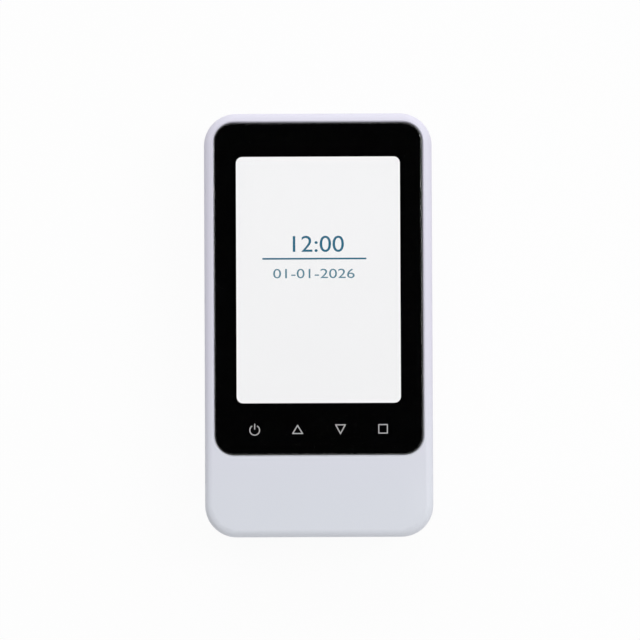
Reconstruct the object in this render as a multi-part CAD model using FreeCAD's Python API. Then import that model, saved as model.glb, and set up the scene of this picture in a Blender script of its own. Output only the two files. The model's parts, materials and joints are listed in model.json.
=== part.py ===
import FreeCAD, Part

import math
import os

from FreeCAD import Vector

# Handheld urine analyzer, lying on its back: +X to the right, +Y to the top end, +Z out of the screen.
# The origin is under the middle of the body, at the level of the feet. All sizes are in millimetres.
# A motorised tray carries a test strip out of the bottom end and back under a reflectance optical head.

# Display module, a 3.5 inch panel of 320 by 480 pixels, and the foam frame on it
active_width = 48.96
active_length = 73.44
display_border_side = 2.77
display_border_top = 2.8
display_border_low = 6.76
display_depth = 3.0
ribbon_width = 20.0
display_tray_wall = 0.8
display_gap = 0.4
cell_depth = 1.2
cell_sunk = 0.05
cell_gap = 0.1
gasket_thickness = 0.6
gasket_inset = 0.6
gasket_width = 1.6

# Front lens, its printed mask and its adhesive frame
window_inset = 0.1
window_corner = 1.9
lens_border_side = 6.67
lens_border_top = 10.19
lens_border_low = 15.47
lens_corner = 5.85
lens_thickness = 1.5
lens_proud = 0.3
lens_edge_bevel = 0.5
lens_gap = 0.12
lens_recess_bevel = 0.3
mask_thickness = 0.1
mask_inset = 0.15
tape_thickness = 0.2
tape_width = 2.3
tape_inset = 0.3
ledge_thickness = 1.6

# Body
rim_side = 2.85
rim_top = 2.74
chin_length = 24.36
corner_radius = 9.5
front_edge_round = 2.3
back_edge_round = 4.5
edge_steps = 4
wall = 2.0
front_shell_height = 12.0
tongue_height = 1.3
joint_gap = 0.1
reveal_height = 0.45
reveal_depth = 0.45
rib_thickness = 1.2
rib_height = 1.2

# Touch keys on a film behind the mask, and the film's tail
key_count = 4
key_pitch = 12.74
key_drop = 7.73
key_pad_half = 3.2
key_pad_thickness = 0.1
film_thickness = 0.2
film_length = 8.4
film_end = 1.4
film_gap = 0.6
film_tail_width = 6.0
film_tail_inset = 2.0

# Main board and what stands on it
board_thickness = 1.6
board_side_gap = 1.9
board_top_gap = 1.0
board_screw_drop = 2.36
board_notch_gap = 0.7
board_room = 1.9
board_screw_side_top = 14.0
board_screw_inset_top = 3.0
board_screw_side_low = 6.0
board_screw_inset_low = 5.0
board_boss_half = 2.0
buzzer_radius = 4.5
buzzer_height = 3.0
buzzer_hole = 0.7
buzzer_inset_side = 10.0
buzzer_inset_low = 16.0

# Chips and coils under the board, placed from its middle
processor_y = 17.0
processor_side = 12.0
processor_height = 1.4
memory_x = -14.0
memory_y = 21.0
memory_width = 8.0
memory_length = 5.3
memory_height = 1.2
driver_x = 14.0
driver_y = 1.0
driver_side = 7.0
driver_height = 1.0
charger_x = -12.0
charger_y = 37.0
charger_width = 5.0
charger_length = 4.0
charger_height = 1.0
coil_x = 14.0
coil_y = 27.0
coil_side = 6.0
coil_height = 2.6
crystal_x = 13.0
crystal_y = 17.0
crystal_width = 5.0
crystal_length = 3.2
crystal_height = 1.1

# Flat leads and their sockets
lead_thickness = 0.2
lead_width = 4.0
lead_inside = 1.0
lead_run_in = 3.0
lead_stand_off = 2.0
motor_lead_level = 2.5
battery_lead_run = 4.0
head_lead_width = 7.0
head_lead_hold = 3.0
head_lead_run = 6.0
head_lead_slope = 2.0
sensor_lead_width = 3.0
sensor_lead_run = 5.0
sensor_lead_drop = 1.0
sensor_lead_inset = 2.8
low_socket_height = 1.4
low_socket_depth = 3.0
low_socket_margin = 1.0
display_lead_level = 0.65
display_lead_run = 2.2
display_lead_slope = 1.0
display_lead_end = 2.8
display_lead_inside = 0.8
top_socket_depth = 3.2
top_socket_height = 1.2
top_socket_margin = 1.5
top_socket_mouth = 1.4
key_socket_depth = 1.4
key_socket_height = 1.0
key_socket_margin = 0.5

# Charging socket under the board's top edge
socket_width = 8.9
socket_height = 3.2
socket_depth = 7.4
socket_recess = 1.8
socket_shell = 0.3
socket_gap = 0.35
tongue_thickness = 0.7
plug_room = 1.7
plug_recess_depth = 0.8

# Screws: shank radius, head radius, head height
small_shank = 0.8
small_head = 1.6
small_head_height = 1.0
case_shank = 1.15
case_head = 2.1
case_head_height = 1.4
screw_sides = 8
round_sides = 20
thread_gap = 0.05
pass_gap = 0.2
case_screw_inset_x = 7.9
case_screw_inset_y = 6.2
case_screw_grip = 6.0
case_screw_bite = 6.0
case_boss_half = 2.5
case_sleeve_half = 3.1

# Feet
foot_radius = 4.2
foot_proud = 0.8
foot_sunk = 0.8
foot_gap = 0.15
foot_inset_x = 11.9
foot_inset_top = 12.0
foot_inset_low = 13.0

# Battery cover: plate, tabs at its top end, latch tongue at its low end
cover_thickness = 1.6
cover_corner = 3.0
cover_gap = 0.2
cover_inset_top = 17.5
ledge_width = 1.5
tab_width = 8.0
tab_spread = 14.0
tab_reach = 2.0
tab_thickness = 1.2
tab_room = 1.5
latch_width = 13.0
latch_length = 9.0
latch_slit = 0.9
nib_width = 9.0
nib_length = 1.5
nib_height = 1.0
nib_gap = 0.15
grip_grooves = 5
grip_pitch = 1.6
grip_width = 0.7
grip_depth = 0.35
thumb_radius = 16.0
thumb_depth = 1.0

# Battery and its contacts
battery_width = 42.0
battery_length = 47.0
battery_depth = 5.6
battery_side_round = 2.7
battery_gap = 0.3
battery_top_gap = 3.1
battery_side_gap = 1.5
contact_room = 5.4
well_wall = 1.3
contact_count = 3
contact_pitch = 3.5
contact_width = 1.0
contact_sheet = 0.25
connector_depth = 1.6
connector_lift = 1.4
connector_tail = 4.0
connector_tail_height = 1.2

# Chassis
chassis_gap = 0.3
chassis_thickness = 1.2
chassis_half_width = 14.0
chassis_end_gap = 0.6
chassis_boss_half = 2.2
chassis_screw_spread = 3.5
chassis_screw_inset_x = 4.5
chassis_screw_inset_low = 5.0
chassis_screw_bite = 4.0
chassis_window_width = 8.0
chassis_window_length = 24.0
chassis_window_count = 3
rail_thickness = 1.4
lip_thickness = 0.8
run_gap = 0.2

# Strip tray, its front, its liner and the white tile
tray_half_width = 9.9
tray_height = 4.0
tray_inset_top = 17.0
tray_travel = 72.0
flange_reach = 1.3
flange_thickness = 1.0
relief_width = 1.8
relief_depth = 1.0
front_width = 24.0
front_height = 8.0
front_corner = 1.2
front_bevel = 0.4
slot_gap = 0.3
holder_width = 12.0
holder_depth = 2.4
holder_corner = 1.5
holder_gap = 0.15
holder_end = 2.0
groove_width = 5.6
groove_depth = 1.2
reference_length = 6.0
reference_end = 1.5
reference_sunk = 0.3
flag_thickness = 1.0
flag_reach = 3.5
flag_gap = 0.6
fork_wall = 1.8
fork_length = 4.6
fork_mouth = 3.4
fork_floor = 0.5
fork_proud = 0.4

# Gear train: rack, double gear and motor pinion
gear_module = 0.5
pressure_angle = 20.0
addendum = 0.8
dedendum = 1.1
backlash = 0.1
thin_step = 0.05
small_teeth = 14
large_teeth = 36
pinion_teeth = 12
gear_inset = 17.0
motor_angle = 45.0
small_gear_height = 1.8
large_gear_height = 2.0
pinion_height = 2.4
gear_lift = 0.5
gear_pin_radius = 1.0
gear_hub_radius = 2.2
shaft_gap = 0.05
clip_radius = 2.0
clip_thickness = 0.4

# Stepper motor and its bracket
motor_radius = 7.5
motor_height = 10.4
motor_ear_spacing = 20.0
motor_ear_half = 2.3
motor_ear_thickness = 0.8
motor_boss_radius = 3.0
motor_boss_height = 1.0
motor_shaft_radius = 0.75
motor_terminal = 1.8
shelf_thickness = 1.2
shelf_gap = 0.4
bracket_wall = 1.2
motor_gap = 0.3

# Optical head
head_gap_y = 0.8
head_width = 20.0
head_length = 18.0
head_height = 7.0
head_shoulder = 1.6
head_air = 0.8
head_ear = 1.5
head_post_gap = 0.8
head_post_half = 2.0
head_screw_bite = 3.0
lamp_width = 3.4
lamp_depth = 2.2
lamp_collar = 0.35
lamp_collar_height = 0.8
lamp_spacing = 9.0
sensor_radius = 1.5
sensor_height = 2.4
optic_gap = 0.1
optic_board_width = 18.0
optic_board_length = 16.0
optic_board_thickness = 1.0
glass_size = 11.0
glass_thickness = 0.6

# Levels, from the feet up
z_back = foot_proud
z_floor = z_back + wall
z_cover_top = z_back + cover_thickness
z_battery = z_cover_top + battery_gap
z_well = z_battery + battery_depth + battery_gap
z_well_top = z_well + well_wall
z_chassis = z_well_top + chassis_gap
z_chassis_top = z_chassis + chassis_thickness
z_tray = z_chassis_top + run_gap
z_tray_top = z_tray + tray_height
z_groove = z_tray_top - groove_depth
z_flange_top = z_tray + flange_thickness
z_lip = z_flange_top + run_gap
z_lip_top = z_lip + lip_thickness
z_small_gear = z_lip_top + run_gap
z_small_gear_top = z_small_gear + small_gear_height
z_large_gear = z_tray_top + gear_lift
z_large_gear_top = z_large_gear + large_gear_height
z_shelf_top = z_large_gear - shelf_gap
z_shelf = z_shelf_top - shelf_thickness
z_head = z_tray_top + head_air
z_head_top = z_head + head_height
z_board = z_head_top + optic_board_thickness + board_room
z_board_top = z_board + board_thickness
z_display_top = z_board_top + display_depth
z_mask = z_display_top + gasket_thickness
z_lens = z_mask + mask_thickness
z_lens_top = z_lens + lens_thickness
z_rim = z_lens_top - lens_proud
z_ledge = z_mask - tape_thickness
z_ceiling = z_ledge - ledge_thickness
z_part = z_rim - front_shell_height
z_socket = z_board - socket_height / 2
z_connector = z_cover_top + connector_lift
z_tail = z_connector + 1.4
z_clip = z_large_gear_top + 0.65

# Places in the plan
window_width = active_width - 2 * window_inset
window_length = active_length - 2 * window_inset
lens_width = window_width + 2 * lens_border_side
lens_length = window_length + lens_border_top + lens_border_low
body_width = lens_width + 2 * rim_side
body_length = lens_length + rim_top + chin_length
side_x = body_width / 2
end_y = body_length / 2
lens_y = end_y - rim_top - lens_length / 2
lens_low_y = lens_y - lens_length / 2
window_y = end_y - rim_top - lens_border_top - window_length / 2
display_width = active_width + 2 * display_border_side
display_length = active_length + display_border_top + display_border_low
display_y = window_y + (display_border_top - display_border_low) / 2
display_low_y = display_y - display_length / 2
key_y = window_y - window_length / 2 - key_drop
film_low_y = key_y - film_length / 2
film_half = window_width / 2 + film_end
film_tail_x = film_half - film_tail_inset - film_tail_width / 2
board_width = body_width - 2 * (wall + board_side_gap)
board_top_y = end_y - wall - board_top_gap
board_screw_y_top = board_top_y - board_screw_inset_top
board_screw_y_low = lens_low_y - board_screw_drop
board_low_y = board_screw_y_low - board_screw_inset_low
board_y = (board_top_y + board_low_y) / 2
board_screw_x_top = board_width / 2 - board_screw_side_top
board_screw_x_low = board_width / 2 - board_screw_side_low
buzzer_x = buzzer_inset_side - board_width / 2
buzzer_y = board_low_y + buzzer_inset_low
well_width = battery_width + 2 * battery_side_gap
well_length = battery_length + battery_top_gap + contact_room
cover_width = well_width + 2 * (ledge_width - cover_gap)
cover_length = well_length + 2 * (ledge_width - cover_gap)
cover_top_y = end_y - cover_inset_top
cover_y = cover_top_y - cover_length / 2
cover_low_y = cover_top_y - cover_length
well_low_y = cover_y - well_length / 2
battery_lead_y = well_low_y - well_wall - connector_tail + lead_width / 2
battery_y = cover_y + well_length / 2 - battery_top_gap - battery_length / 2
tray_top_y = end_y - tray_inset_top
tray_low_y = -end_y + wall
tray_mid_y = (tray_top_y + tray_low_y) / 2
rail_x = tray_half_width + flange_reach + run_gap
rail_low_y = tray_low_y + chassis_end_gap
rail_top_y = tray_top_y + 1.0
holder_length = tray_top_y - tray_low_y - 2 * holder_end
holder_low_y = tray_mid_y - holder_length / 2
holder_high_y = tray_mid_y + holder_length / 2
rack_pitch_x = tray_half_width + dedendum * gear_module
gear_x = rack_pitch_x + gear_module * small_teeth / 2
gear_y = -end_y + gear_inset
gear_distance = gear_module * (large_teeth + pinion_teeth) / 2
motor_x = gear_x + gear_distance * math.cos(math.radians(motor_angle))
motor_y = gear_y + gear_distance * math.sin(math.radians(motor_angle))
motor_ears = [motor_y - motor_ear_spacing / 2, motor_y + motor_ear_spacing / 2]
bracket_length = motor_ear_spacing + 2 * (motor_ear_half + bracket_wall)
bracket_top_y = motor_y + bracket_length / 2
head_post_x = rail_x + rail_thickness + head_post_gap + head_post_half
head_y = bracket_top_y + head_gap_y + head_post_half
head_posts = [(-head_post_x, head_y), (head_post_x, head_y)]
sensor_low_y = tray_top_y + 1.2
case_screws = [(sx * (side_x - case_screw_inset_x), sy * (end_y - case_screw_inset_y))
               for sx in (-1, 1) for sy in (-1, 1)]
chassis_screws = [(sx * x, y) for sx in (-1, 1)
                  for x, y in ((chassis_half_width + chassis_screw_spread,
                                rail_low_y + chassis_screw_inset_low),
                               (side_x - wall - chassis_screw_inset_x, cover_top_y - 2 * tab_width))]
board_screws = [(sx * x, y) for sx in (-1, 1)
                for x, y in ((board_screw_x_top, board_screw_y_top), (board_screw_x_low, board_screw_y_low))]
feet = [(sx * (side_x - foot_inset_x), y) for sx in (-1, 1)
        for y in (end_y - foot_inset_top, -end_y + foot_inset_low)]
key_places = [(i - (key_count - 1) / 2) * key_pitch for i in range(key_count)]
contact_places = [(i - (contact_count - 1) / 2) * contact_pitch for i in range(contact_count)]


def rounded_wire(width, length, radius, z, x=0.0, y=0.0):
    """A rounded rectangle about (x, y) at level z."""
    a = width / 2 - radius
    b = length / 2 - radius
    edges = []
    for turn, (cx, cy, to_x, to_y) in enumerate([(a, b, -a, b), (-a, b, -a, -b), (-a, -b, a, -b),
                                                 (a, -b, a, b)]):
        start = math.radians(90 * turn)
        points = [Vector(x + cx + radius * math.cos(start + t), y + cy + radius * math.sin(start + t), z)
                  for t in (0, math.pi / 4, math.pi / 2)]
        end = start + math.pi / 2
        after = Vector(x + to_x + radius * math.cos(end), y + to_y + radius * math.sin(end), z)
        edges.append(Part.Arc(*points).toShape())
        edges.append(Part.LineSegment(points[2], after).toShape())
    return Part.Wire(edges)


def rounded_slab(width, length, radius, low, high, x=0.0, y=0.0):
    """A plate with rounded corners between the levels low and high."""
    return Part.Face(rounded_wire(width, length, radius, low, x, y)).extrude(Vector(0, 0, high - low))


def plate(size, low, high, y=0.0):
    """A plate with square corners, from a (width, length, radius) whose radius isn't used."""
    return block(-size[0] / 2, size[0] / 2, y - size[1] / 2, y + size[1] / 2, low, high)


def ring_slab(outer, inner, low, high, y=0.0):
    """A frame between two rounded rectangles, each given as (width, length, radius)."""
    return rounded_slab(*outer, low, high, y=y).cut(rounded_slab(*inner, low - 1, high + 1, y=y))


def inset(size, by):
    """A rounded rectangle's (width, length, radius) taken in by a margin all round."""
    width, length, radius = size
    return width - 2 * by, length - 2 * by, max(radius - by, 0.2)


def block(x_low, x_high, y_low, y_high, low, high):
    """A box between two corners."""
    return Part.makeBox(x_high - x_low, y_high - y_low, high - low, Vector(x_low, y_low, low))


def side_block(side, near, far, y_low, y_high, low, high):
    """A box between two distances from the middle, on the left (side -1) or the right (side 1)."""
    return block(*sorted((side * near, side * far)), y_low, y_high, low, high)


def post(x, y, low, high, radius):
    """A round post or hole along Z."""
    return Part.makeCylinder(radius, high - low, Vector(x, y, low))


def pillar(x, y, low, high, half):
    """A square post along Z."""
    return block(x - half, x + half, y - half, y + half, low, high)


def tube(x, y, low, high, radius, bore):
    """A round post with a hole through it."""
    return post(x, y, low, high, radius).cut(post(x, y, low - 1, high + 1, bore))


def prism_x(points, x_low, x_high):
    """A profile of (y, z) points carried along X."""
    corners = [Vector(x_low, y, z) for y, z in points]
    return Part.Face(Part.makePolygon(corners + corners[:1])).extrude(Vector(x_high - x_low, 0, 0))


def prism_z(points, low, high):
    """A profile of (x, y) points carried along Z."""
    corners = [Vector(x, y, low) for x, y in points]
    return Part.Face(Part.makePolygon(corners + corners[:1])).extrude(Vector(0, 0, high - low))


def slab_y(width, height, corner, y_low, y_high, z):
    """A rounded slab seen along Y, about x = 0 at level z."""
    flat = rounded_slab(width, height, corner, 0, y_high - y_low)
    flat.rotate(Vector(0, 0, 0), Vector(1, 0, 0), 90)
    flat.translate(Vector(0, y_high, z))
    return flat


def join(first, *others):
    """One solid from several that touch or overlap."""
    return first.fuse(list(others)).removeSplitter()


def eased_slab(size, low, high, radius, up):
    """A rounded plate whose upper (up) or lower edge is rounded over in a few even bevels."""
    level, way = (high, -1) if up else (low, 1)
    turns = [math.pi / 2 * k / edge_steps for k in range(edge_steps + 1)]
    wires = [rounded_wire(*inset(size, radius * (1 - math.sin(t))), level + way * radius * (1 - math.cos(t)))
             for t in turns]
    bands = [Part.makeLoft([wires[k], wires[k + 1]], True, True) for k in range(edge_steps)]
    core = rounded_slab(*size, low, high - radius) if up else rounded_slab(*size, low + radius, high)
    return join(core, *bands)


def bevel_level(shape, level, size):
    """Bevels the edges that lie wholly at one level."""
    edges = [e for e in shape.Edges if all(abs(v.Z - level) < 1e-6 for v in e.Vertexes)]
    return shape.makeChamfer(size, edges)


def bent_path(points, radius):
    """Edges in the XZ plane through (run, z) points, with arcs of one radius at the bends."""
    edges = []
    last = Vector(points[0][0], 0, points[0][1])
    for before, here, after in zip(points, points[1:], points[2:]):
        corner = Vector(here[0], 0, here[1])
        back = (Vector(before[0], 0, before[1]) - corner).normalize()
        on = (Vector(after[0], 0, after[1]) - corner).normalize()
        half = back.getAngle(on) / 2
        reach = radius / math.tan(half)
        middle = (back + on).normalize() * (radius / math.sin(half) - radius)
        edges.append(Part.LineSegment(last, corner + back * reach).toShape())
        edges.append(Part.Arc(corner + back * reach, corner + middle, corner + on * reach).toShape())
        last = corner + on * reach
    edges.append(Part.LineSegment(last, Vector(points[-1][0], 0, points[-1][1])).toShape())
    return edges


def flat_lead(points, width, centre, along_y):
    """A flat flexible lead whose middle runs through (run, z) points along X or Y, with rounded bends."""
    path = Part.Wire(bent_path(points, 3 * lead_thickness))
    side = Vector(0, 1, 0)
    if along_y:
        path.rotate(Vector(0, 0, 0), Vector(0, 0, 1), 90)
        side = Vector(1, 0, 0)
    path.translate(side * (centre - width / 2))
    lower = path.extrude(side * width).makeOffsetShape(lead_thickness / 2, 1e-4)
    return lower.makeOffsetShape(-lead_thickness, 1e-4, fill=True)


def screw(x, y, seat, size, length, up):
    """A plain screw of few faces, its size given as (shank radius, head radius, head height). The head
    bears at level seat, and the shank points up or down."""
    shank, head, head_height = size
    way = 1 if up else -1
    body = many_sided(x, y, seat, seat + way * length, shank)
    return join(body, many_sided(x, y, seat - way * head_height, seat, head))


def many_sided(x, y, start, end, radius, sides=screw_sides):
    """A regular prism along Z that stands for a small round post or hole."""
    turns = [2 * math.pi * k / sides for k in range(sides)]
    corners = [(x + radius * math.cos(t), y + radius * math.sin(t)) for t in turns]
    return prism_z(corners, min(start, end), max(start, end))


BODY = (body_width, body_length, corner_radius)
LENS = (lens_width, lens_length, lens_corner)
WINDOW = (window_width, window_length, window_corner)
DISPLAY = (display_width, display_length, 0.6)
COVER = (cover_width, cover_length, cover_corner)
WELL = (well_width, well_length, cover_corner)
SMALL_SCREW = (small_shank, small_head, small_head_height)
CASE_SCREW = (case_shank, case_head, case_head_height)


def front_housing():
    """The upper shell: rim round the lens, ledge under it, openings for display and keys, bosses, tongue."""
    shell = eased_slab(BODY, z_part, z_rim, front_edge_round, True)
    shell = shell.cut(rounded_slab(*inset(BODY, wall), z_part - 1, z_ceiling))
    recess = inset(LENS, -lens_gap)
    bevel = Part.makeLoft([rounded_wire(*recess, z_rim - lens_recess_bevel, y=lens_y),
                           rounded_wire(*inset(recess, -lens_recess_bevel), z_rim, y=lens_y)], True, True)
    cuts = [rounded_slab(*recess, z_ledge, z_rim, y=lens_y), bevel,
            plate(inset(DISPLAY, -display_gap), z_ceiling - 1, z_ledge + 1, display_y),
            block(-film_half - film_gap, film_half + film_gap, film_low_y - film_gap, display_low_y,
                  z_ceiling - 1,
                  z_ledge + 1)]
    hollow_low = -end_y + 1.5 * wall
    hollow_high = lens_low_y - wall
    cuts.append(rounded_slab(body_width - 3 * wall, hollow_high - hollow_low, wall, z_ceiling - 1,
                             z_rim - wall,
                             y=(hollow_low + hollow_high) / 2))
    shell = shell.cut(cuts)
    tongue = side_bars(wall / 2 + joint_gap, wall, joint_gap, z_part - tongue_height, z_part + 1)
    added = [pillar(x, y, z_part, z_rim - wall, case_boss_half) for x, y in case_screws]
    added += [pillar(x, y, z_board_top, z_ceiling + 1, board_boss_half) for x, y in board_screws]
    added += [block(x - rib_thickness / 2, x + rib_thickness / 2, hollow_low - 0.5, hollow_high + 0.5,
                    z_ceiling - rib_height, z_rim - wall + 0.5)
              for x in (-body_width / 4, 0.0, body_width / 4)]
    shell = join(shell, *tongue, *added)
    holes = [many_sided(x, y, z_part - 1, z_part + case_screw_bite + 1, case_shank + thread_gap)
             for x, y in case_screws]
    holes += [many_sided(x, y, z_board_top - 1, z_ceiling, small_shank + thread_gap) for x, y in board_screws]
    holes += [slab_y(socket_width + 2 * room, socket_height + 2 * room, socket_height / 2, y_low, end_y + 1,
                     z_socket)
              for room, y_low in ((socket_gap, end_y - wall - 1), (plug_room, end_y - plug_recess_depth))]
    return shell.cut(holes)


def rear_housing():
    """The lower shell: battery well, tray slot, sleeves for the case screws, chassis bosses, foot pockets."""
    shell = eased_slab(BODY, z_back, z_part, back_edge_round, False)
    cavity = rounded_slab(*inset(BODY, wall), z_floor, z_part + 1)
    rebate = side_bars(wall / 2, wall + 1, 0.0, z_part - tongue_height - 2 * joint_gap, z_part + 1)
    reveal = ring_slab(inset(BODY, -1), inset(BODY, reveal_depth), z_part - reveal_height, z_part + 1)
    shell = shell.cut([bevel_level(cavity, z_floor, back_edge_round - wall), reveal] + rebate)
    added = [rounded_slab(*inset(COVER, -cover_gap - well_wall), z_back + 1, z_cover_top + 2 * well_wall,
                          y=cover_y),
             rounded_slab(*inset(WELL, -well_wall), z_floor, z_well_top, y=cover_y)]
    added += [pillar(x, y, z_floor - 1, z_part, case_sleeve_half) for x, y in case_screws]
    added += [pillar(x, y, z_floor - 1, z_chassis, chassis_boss_half) for x, y in chassis_screws]
    shell = join(shell, *added)
    z_seat = z_part - case_screw_grip
    cuts = [rounded_slab(*inset(COVER, -cover_gap), z_back - 1, z_cover_top, y=cover_y),
            rounded_slab(*WELL, z_back - 1, z_well, y=cover_y)]
    tab_half = tab_width / 2 + cover_gap
    z_tab_room = z_floor + tab_thickness + tab_room
    for x in (-tab_spread, tab_spread):
        cuts.append(block(x - tab_half, x + tab_half, cover_top_y - ledge_width - 1, cover_top_y + cover_gap,
                          z_back, z_tab_room))
        cuts.append(block(x - tab_half, x + tab_half, cover_top_y, cover_top_y + tab_reach + tab_room,
                          z_floor,
                          z_tab_room))
    for x, y in case_screws:
        cuts.append(many_sided(x, y, z_back - 1, z_seat, case_head + pass_gap, round_sides))
        cuts.append(many_sided(x, y, z_seat - 1, z_part + 1, case_shank + pass_gap))
    cuts += [many_sided(x, y, z_chassis - chassis_screw_bite - 1, z_chassis + 1, small_shank + thread_gap)
             for x, y in chassis_screws]
    cuts += [many_sided(x, y, z_back - 1, z_back + foot_sunk, foot_radius + foot_gap, round_sides)
             for x, y in feet]
    cuts.append(front_slot(slot_gap, -end_y - 1, -end_y + wall + 1))
    cuts.append(block(-connector_half() - joint_gap, connector_half() + joint_gap, well_low_y - well_wall - 1,
                      well_low_y + 1, z_tail - joint_gap, z_tail + connector_tail_height + joint_gap))
    thumb = Part.makeCylinder(thumb_radius, latch_width, Vector(-latch_width / 2, cover_low_y - cover_gap,
                                                                z_back + thumb_depth - thumb_radius),
                              Vector(1, 0, 0))
    cuts.append(thumb.common(block(-latch_width, latch_width, cover_low_y - thumb_radius, cover_low_y, 0,
                                   z_floor)))
    return shell.cut(cuts)


def side_bars(outer, inner, short, low, high):
    """A bar along each long side of the case, between two depths from the outside, that stops short of the
    corners by the corner radius and a margin."""
    y = end_y - corner_radius - short
    return [side_block(side, side_x - inner, side_x - outer, -y, y, low, high) for side in (-1, 1)]


def front_slot(gap, y_low, y_high):
    """The rounded slab that the tray's front fills with no gap, and its slot in the case with one."""
    return slab_y(front_width + 2 * gap, front_height + 2 * gap, front_corner + gap, y_low, y_high,
                  (z_tray + z_tray_top) / 2)


def battery_cover():
    """The cover in the back: plate, two tabs at its top end, a latch tongue between slits and grip
    grooves."""
    plate = rounded_slab(*COVER, z_back, z_cover_top, y=cover_y)
    z_tab = z_floor + joint_gap
    added = []
    for x in (-tab_spread, tab_spread):
        foot = (x - tab_width / 2, x + tab_width / 2, cover_top_y - ledge_width - 0.4)
        added.append(block(*foot, cover_top_y - joint_gap, z_cover_top - 0.5, z_tab + tab_thickness))
        added.append(block(*foot, cover_top_y + tab_reach, z_tab, z_tab + tab_thickness))
    nib_y = well_low_y + nib_gap
    added.append(prism_x([(nib_y, z_cover_top - 0.5), (nib_y + nib_length, z_cover_top - 0.5),
                          (nib_y + nib_length, z_cover_top),
                          (nib_y + nib_length / 2, z_cover_top + nib_height),
                          (nib_y, z_cover_top + nib_height)], -nib_width / 2, nib_width / 2))
    cover = join(plate, *added)
    cuts = []
    for side in (-1, 1):
        cuts.append(side_block(side, latch_width / 2, latch_width / 2 + latch_slit, cover_low_y - 1,
                               cover_low_y + latch_length, z_back - 1, z_cover_top + 1))
    for i in range(grip_grooves):
        y = cover_low_y + grip_pitch * (i + 1)
        cuts.append(block(-latch_width / 2 + grip_pitch, latch_width / 2 - grip_pitch, y, y + grip_width,
                          z_back - 1,
                          z_back + grip_depth))
    return cover.cut(cuts)


def front_lens():
    """The clear front lens, with its upper edge bevelled."""
    return bevel_level(rounded_slab(*LENS, z_lens, z_lens_top, y=lens_y), z_lens_top, lens_edge_bevel)


def lens_mask():
    """The black print behind the lens, open over the display."""
    sheet = rounded_slab(*inset(LENS, mask_inset), z_mask, z_lens, y=lens_y)
    return sheet.cut(rounded_slab(*WINDOW, z_mask - 1, z_lens + 1, y=window_y))


def lens_tape():
    """The adhesive frame that holds the lens on its ledge."""
    outer = inset(LENS, tape_inset)
    return ring_slab(outer, inset(outer, tape_width), z_ledge, z_mask, y=lens_y)


def display_gasket():
    """The foam frame between the display and the mask."""
    inner = (active_width + 2 * gasket_inset, active_length + 2 * gasket_inset, 0.5)
    return plate(inset(inner, -gasket_width), z_display_top, z_mask, window_y).cut(
        plate(inner, z_display_top - 1, z_mask + 1, window_y))


def display_frame():
    """The display's steel tray, which holds the backlight and the glass cell."""
    tray = plate(DISPLAY, z_board_top, z_display_top, display_y)
    return tray.cut(plate(inset(DISPLAY, display_tray_wall), z_display_top - cell_depth, z_display_top + 1,
                          display_y))


def display_cell():
    """The liquid crystal glass in its tray."""
    return plate(inset(DISPLAY, display_tray_wall + cell_gap), z_display_top - cell_depth,
                 z_display_top - cell_sunk, display_y)


def display_ribbon():
    """The display's flexible lead, from the tray's lower edge down into the socket on the board."""
    z_start = z_display_top - cell_depth
    z_end = z_board_top + display_lead_level
    y_down = display_low_y - display_lead_run
    y_in = y_down - display_lead_slope
    return flat_lead([(display_low_y, z_start), (y_down, z_start), (y_in, z_end),
                      (y_in - display_lead_end, z_end)], ribbon_width, 0.0, True)


def touch_key_film():
    """The film with the touch electrodes, stuck behind the mask, and its tail down to the board."""
    z_low = z_mask - film_thickness
    film = block(-film_half, film_half, film_low_y, film_low_y + film_length, z_low, z_mask)
    tail = block(film_tail_x - film_tail_width / 2, film_tail_x + film_tail_width / 2, film_low_y,
                 film_low_y + film_thickness, z_board_top, z_mask)
    pads = [pillar(x, key_y, z_low - key_pad_thickness, z_mask, key_pad_half) for x in key_places]
    return join(film, tail, *pads)


def main_board():
    """The circuit board under the display, with notches for the case bosses and its screw holes."""
    board = block(-board_width / 2, board_width / 2, board_low_y, board_top_y, z_board, z_board_top)
    cuts = [many_sided(x, y, z_board - 1, z_board_top + 1, small_shank + pass_gap) for x, y in board_screws]
    reach = case_boss_half + board_notch_gap
    for side in (-1, 1):
        cuts.append(side_block(side, side_x - case_screw_inset_x - reach, side_x,
                               end_y - case_screw_inset_y - reach,
                               end_y, z_board - 1, z_board_top + 1))
    return board.cut(cuts)


def board_screw_set():
    """The screws that hold the board under the front shell."""
    return [screw(x, y, z_board, SMALL_SCREW, board_thickness + ledge_thickness, True)
            for x, y in board_screws]


def case_screw_set():
    """The long-reach screws that close the case from the back."""
    return [screw(x, y, z_part - case_screw_grip, CASE_SCREW, case_screw_grip + case_screw_bite, True)
            for x, y in case_screws]


def chassis_screw_set():
    """The screws that hold the chassis on the rear shell's bosses."""
    return [screw(x, y, z_chassis_top, SMALL_SCREW, chassis_thickness + chassis_screw_bite, False)
            for x, y in chassis_screws]


def rubber_feet():
    """The round feet, each in its pocket."""
    return [many_sided(x, y, 0, z_back + foot_sunk, foot_radius, round_sides) for x, y in feet]


def battery_pack():
    """The flat rechargeable pack, with rounded sides."""
    return slab_y(battery_width, battery_depth, battery_side_round, battery_y - battery_length / 2,
                  battery_y + battery_length / 2, z_battery + battery_depth / 2)


def connector_half():
    """Half the width of the battery connector."""
    return (contact_count + 1) / 2 * contact_pitch


def battery_connector():
    """The contact block at the low end of the well, with its tail through the well's wall."""
    body = block(-connector_half(), connector_half(), well_low_y, well_low_y + connector_depth, z_connector,
                 z_well)
    slots = [block(x - 0.7, x + 0.7, well_low_y + 0.6, well_low_y + connector_depth + 1, z_connector + 0.6,
                   z_well - 0.6) for x in contact_places]
    tail = block(-connector_half(), connector_half(), well_low_y - well_wall - connector_tail,
                 well_low_y + 0.5,
                 z_tail, z_tail + connector_tail_height)
    return join(body.cut(slots), tail)


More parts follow.
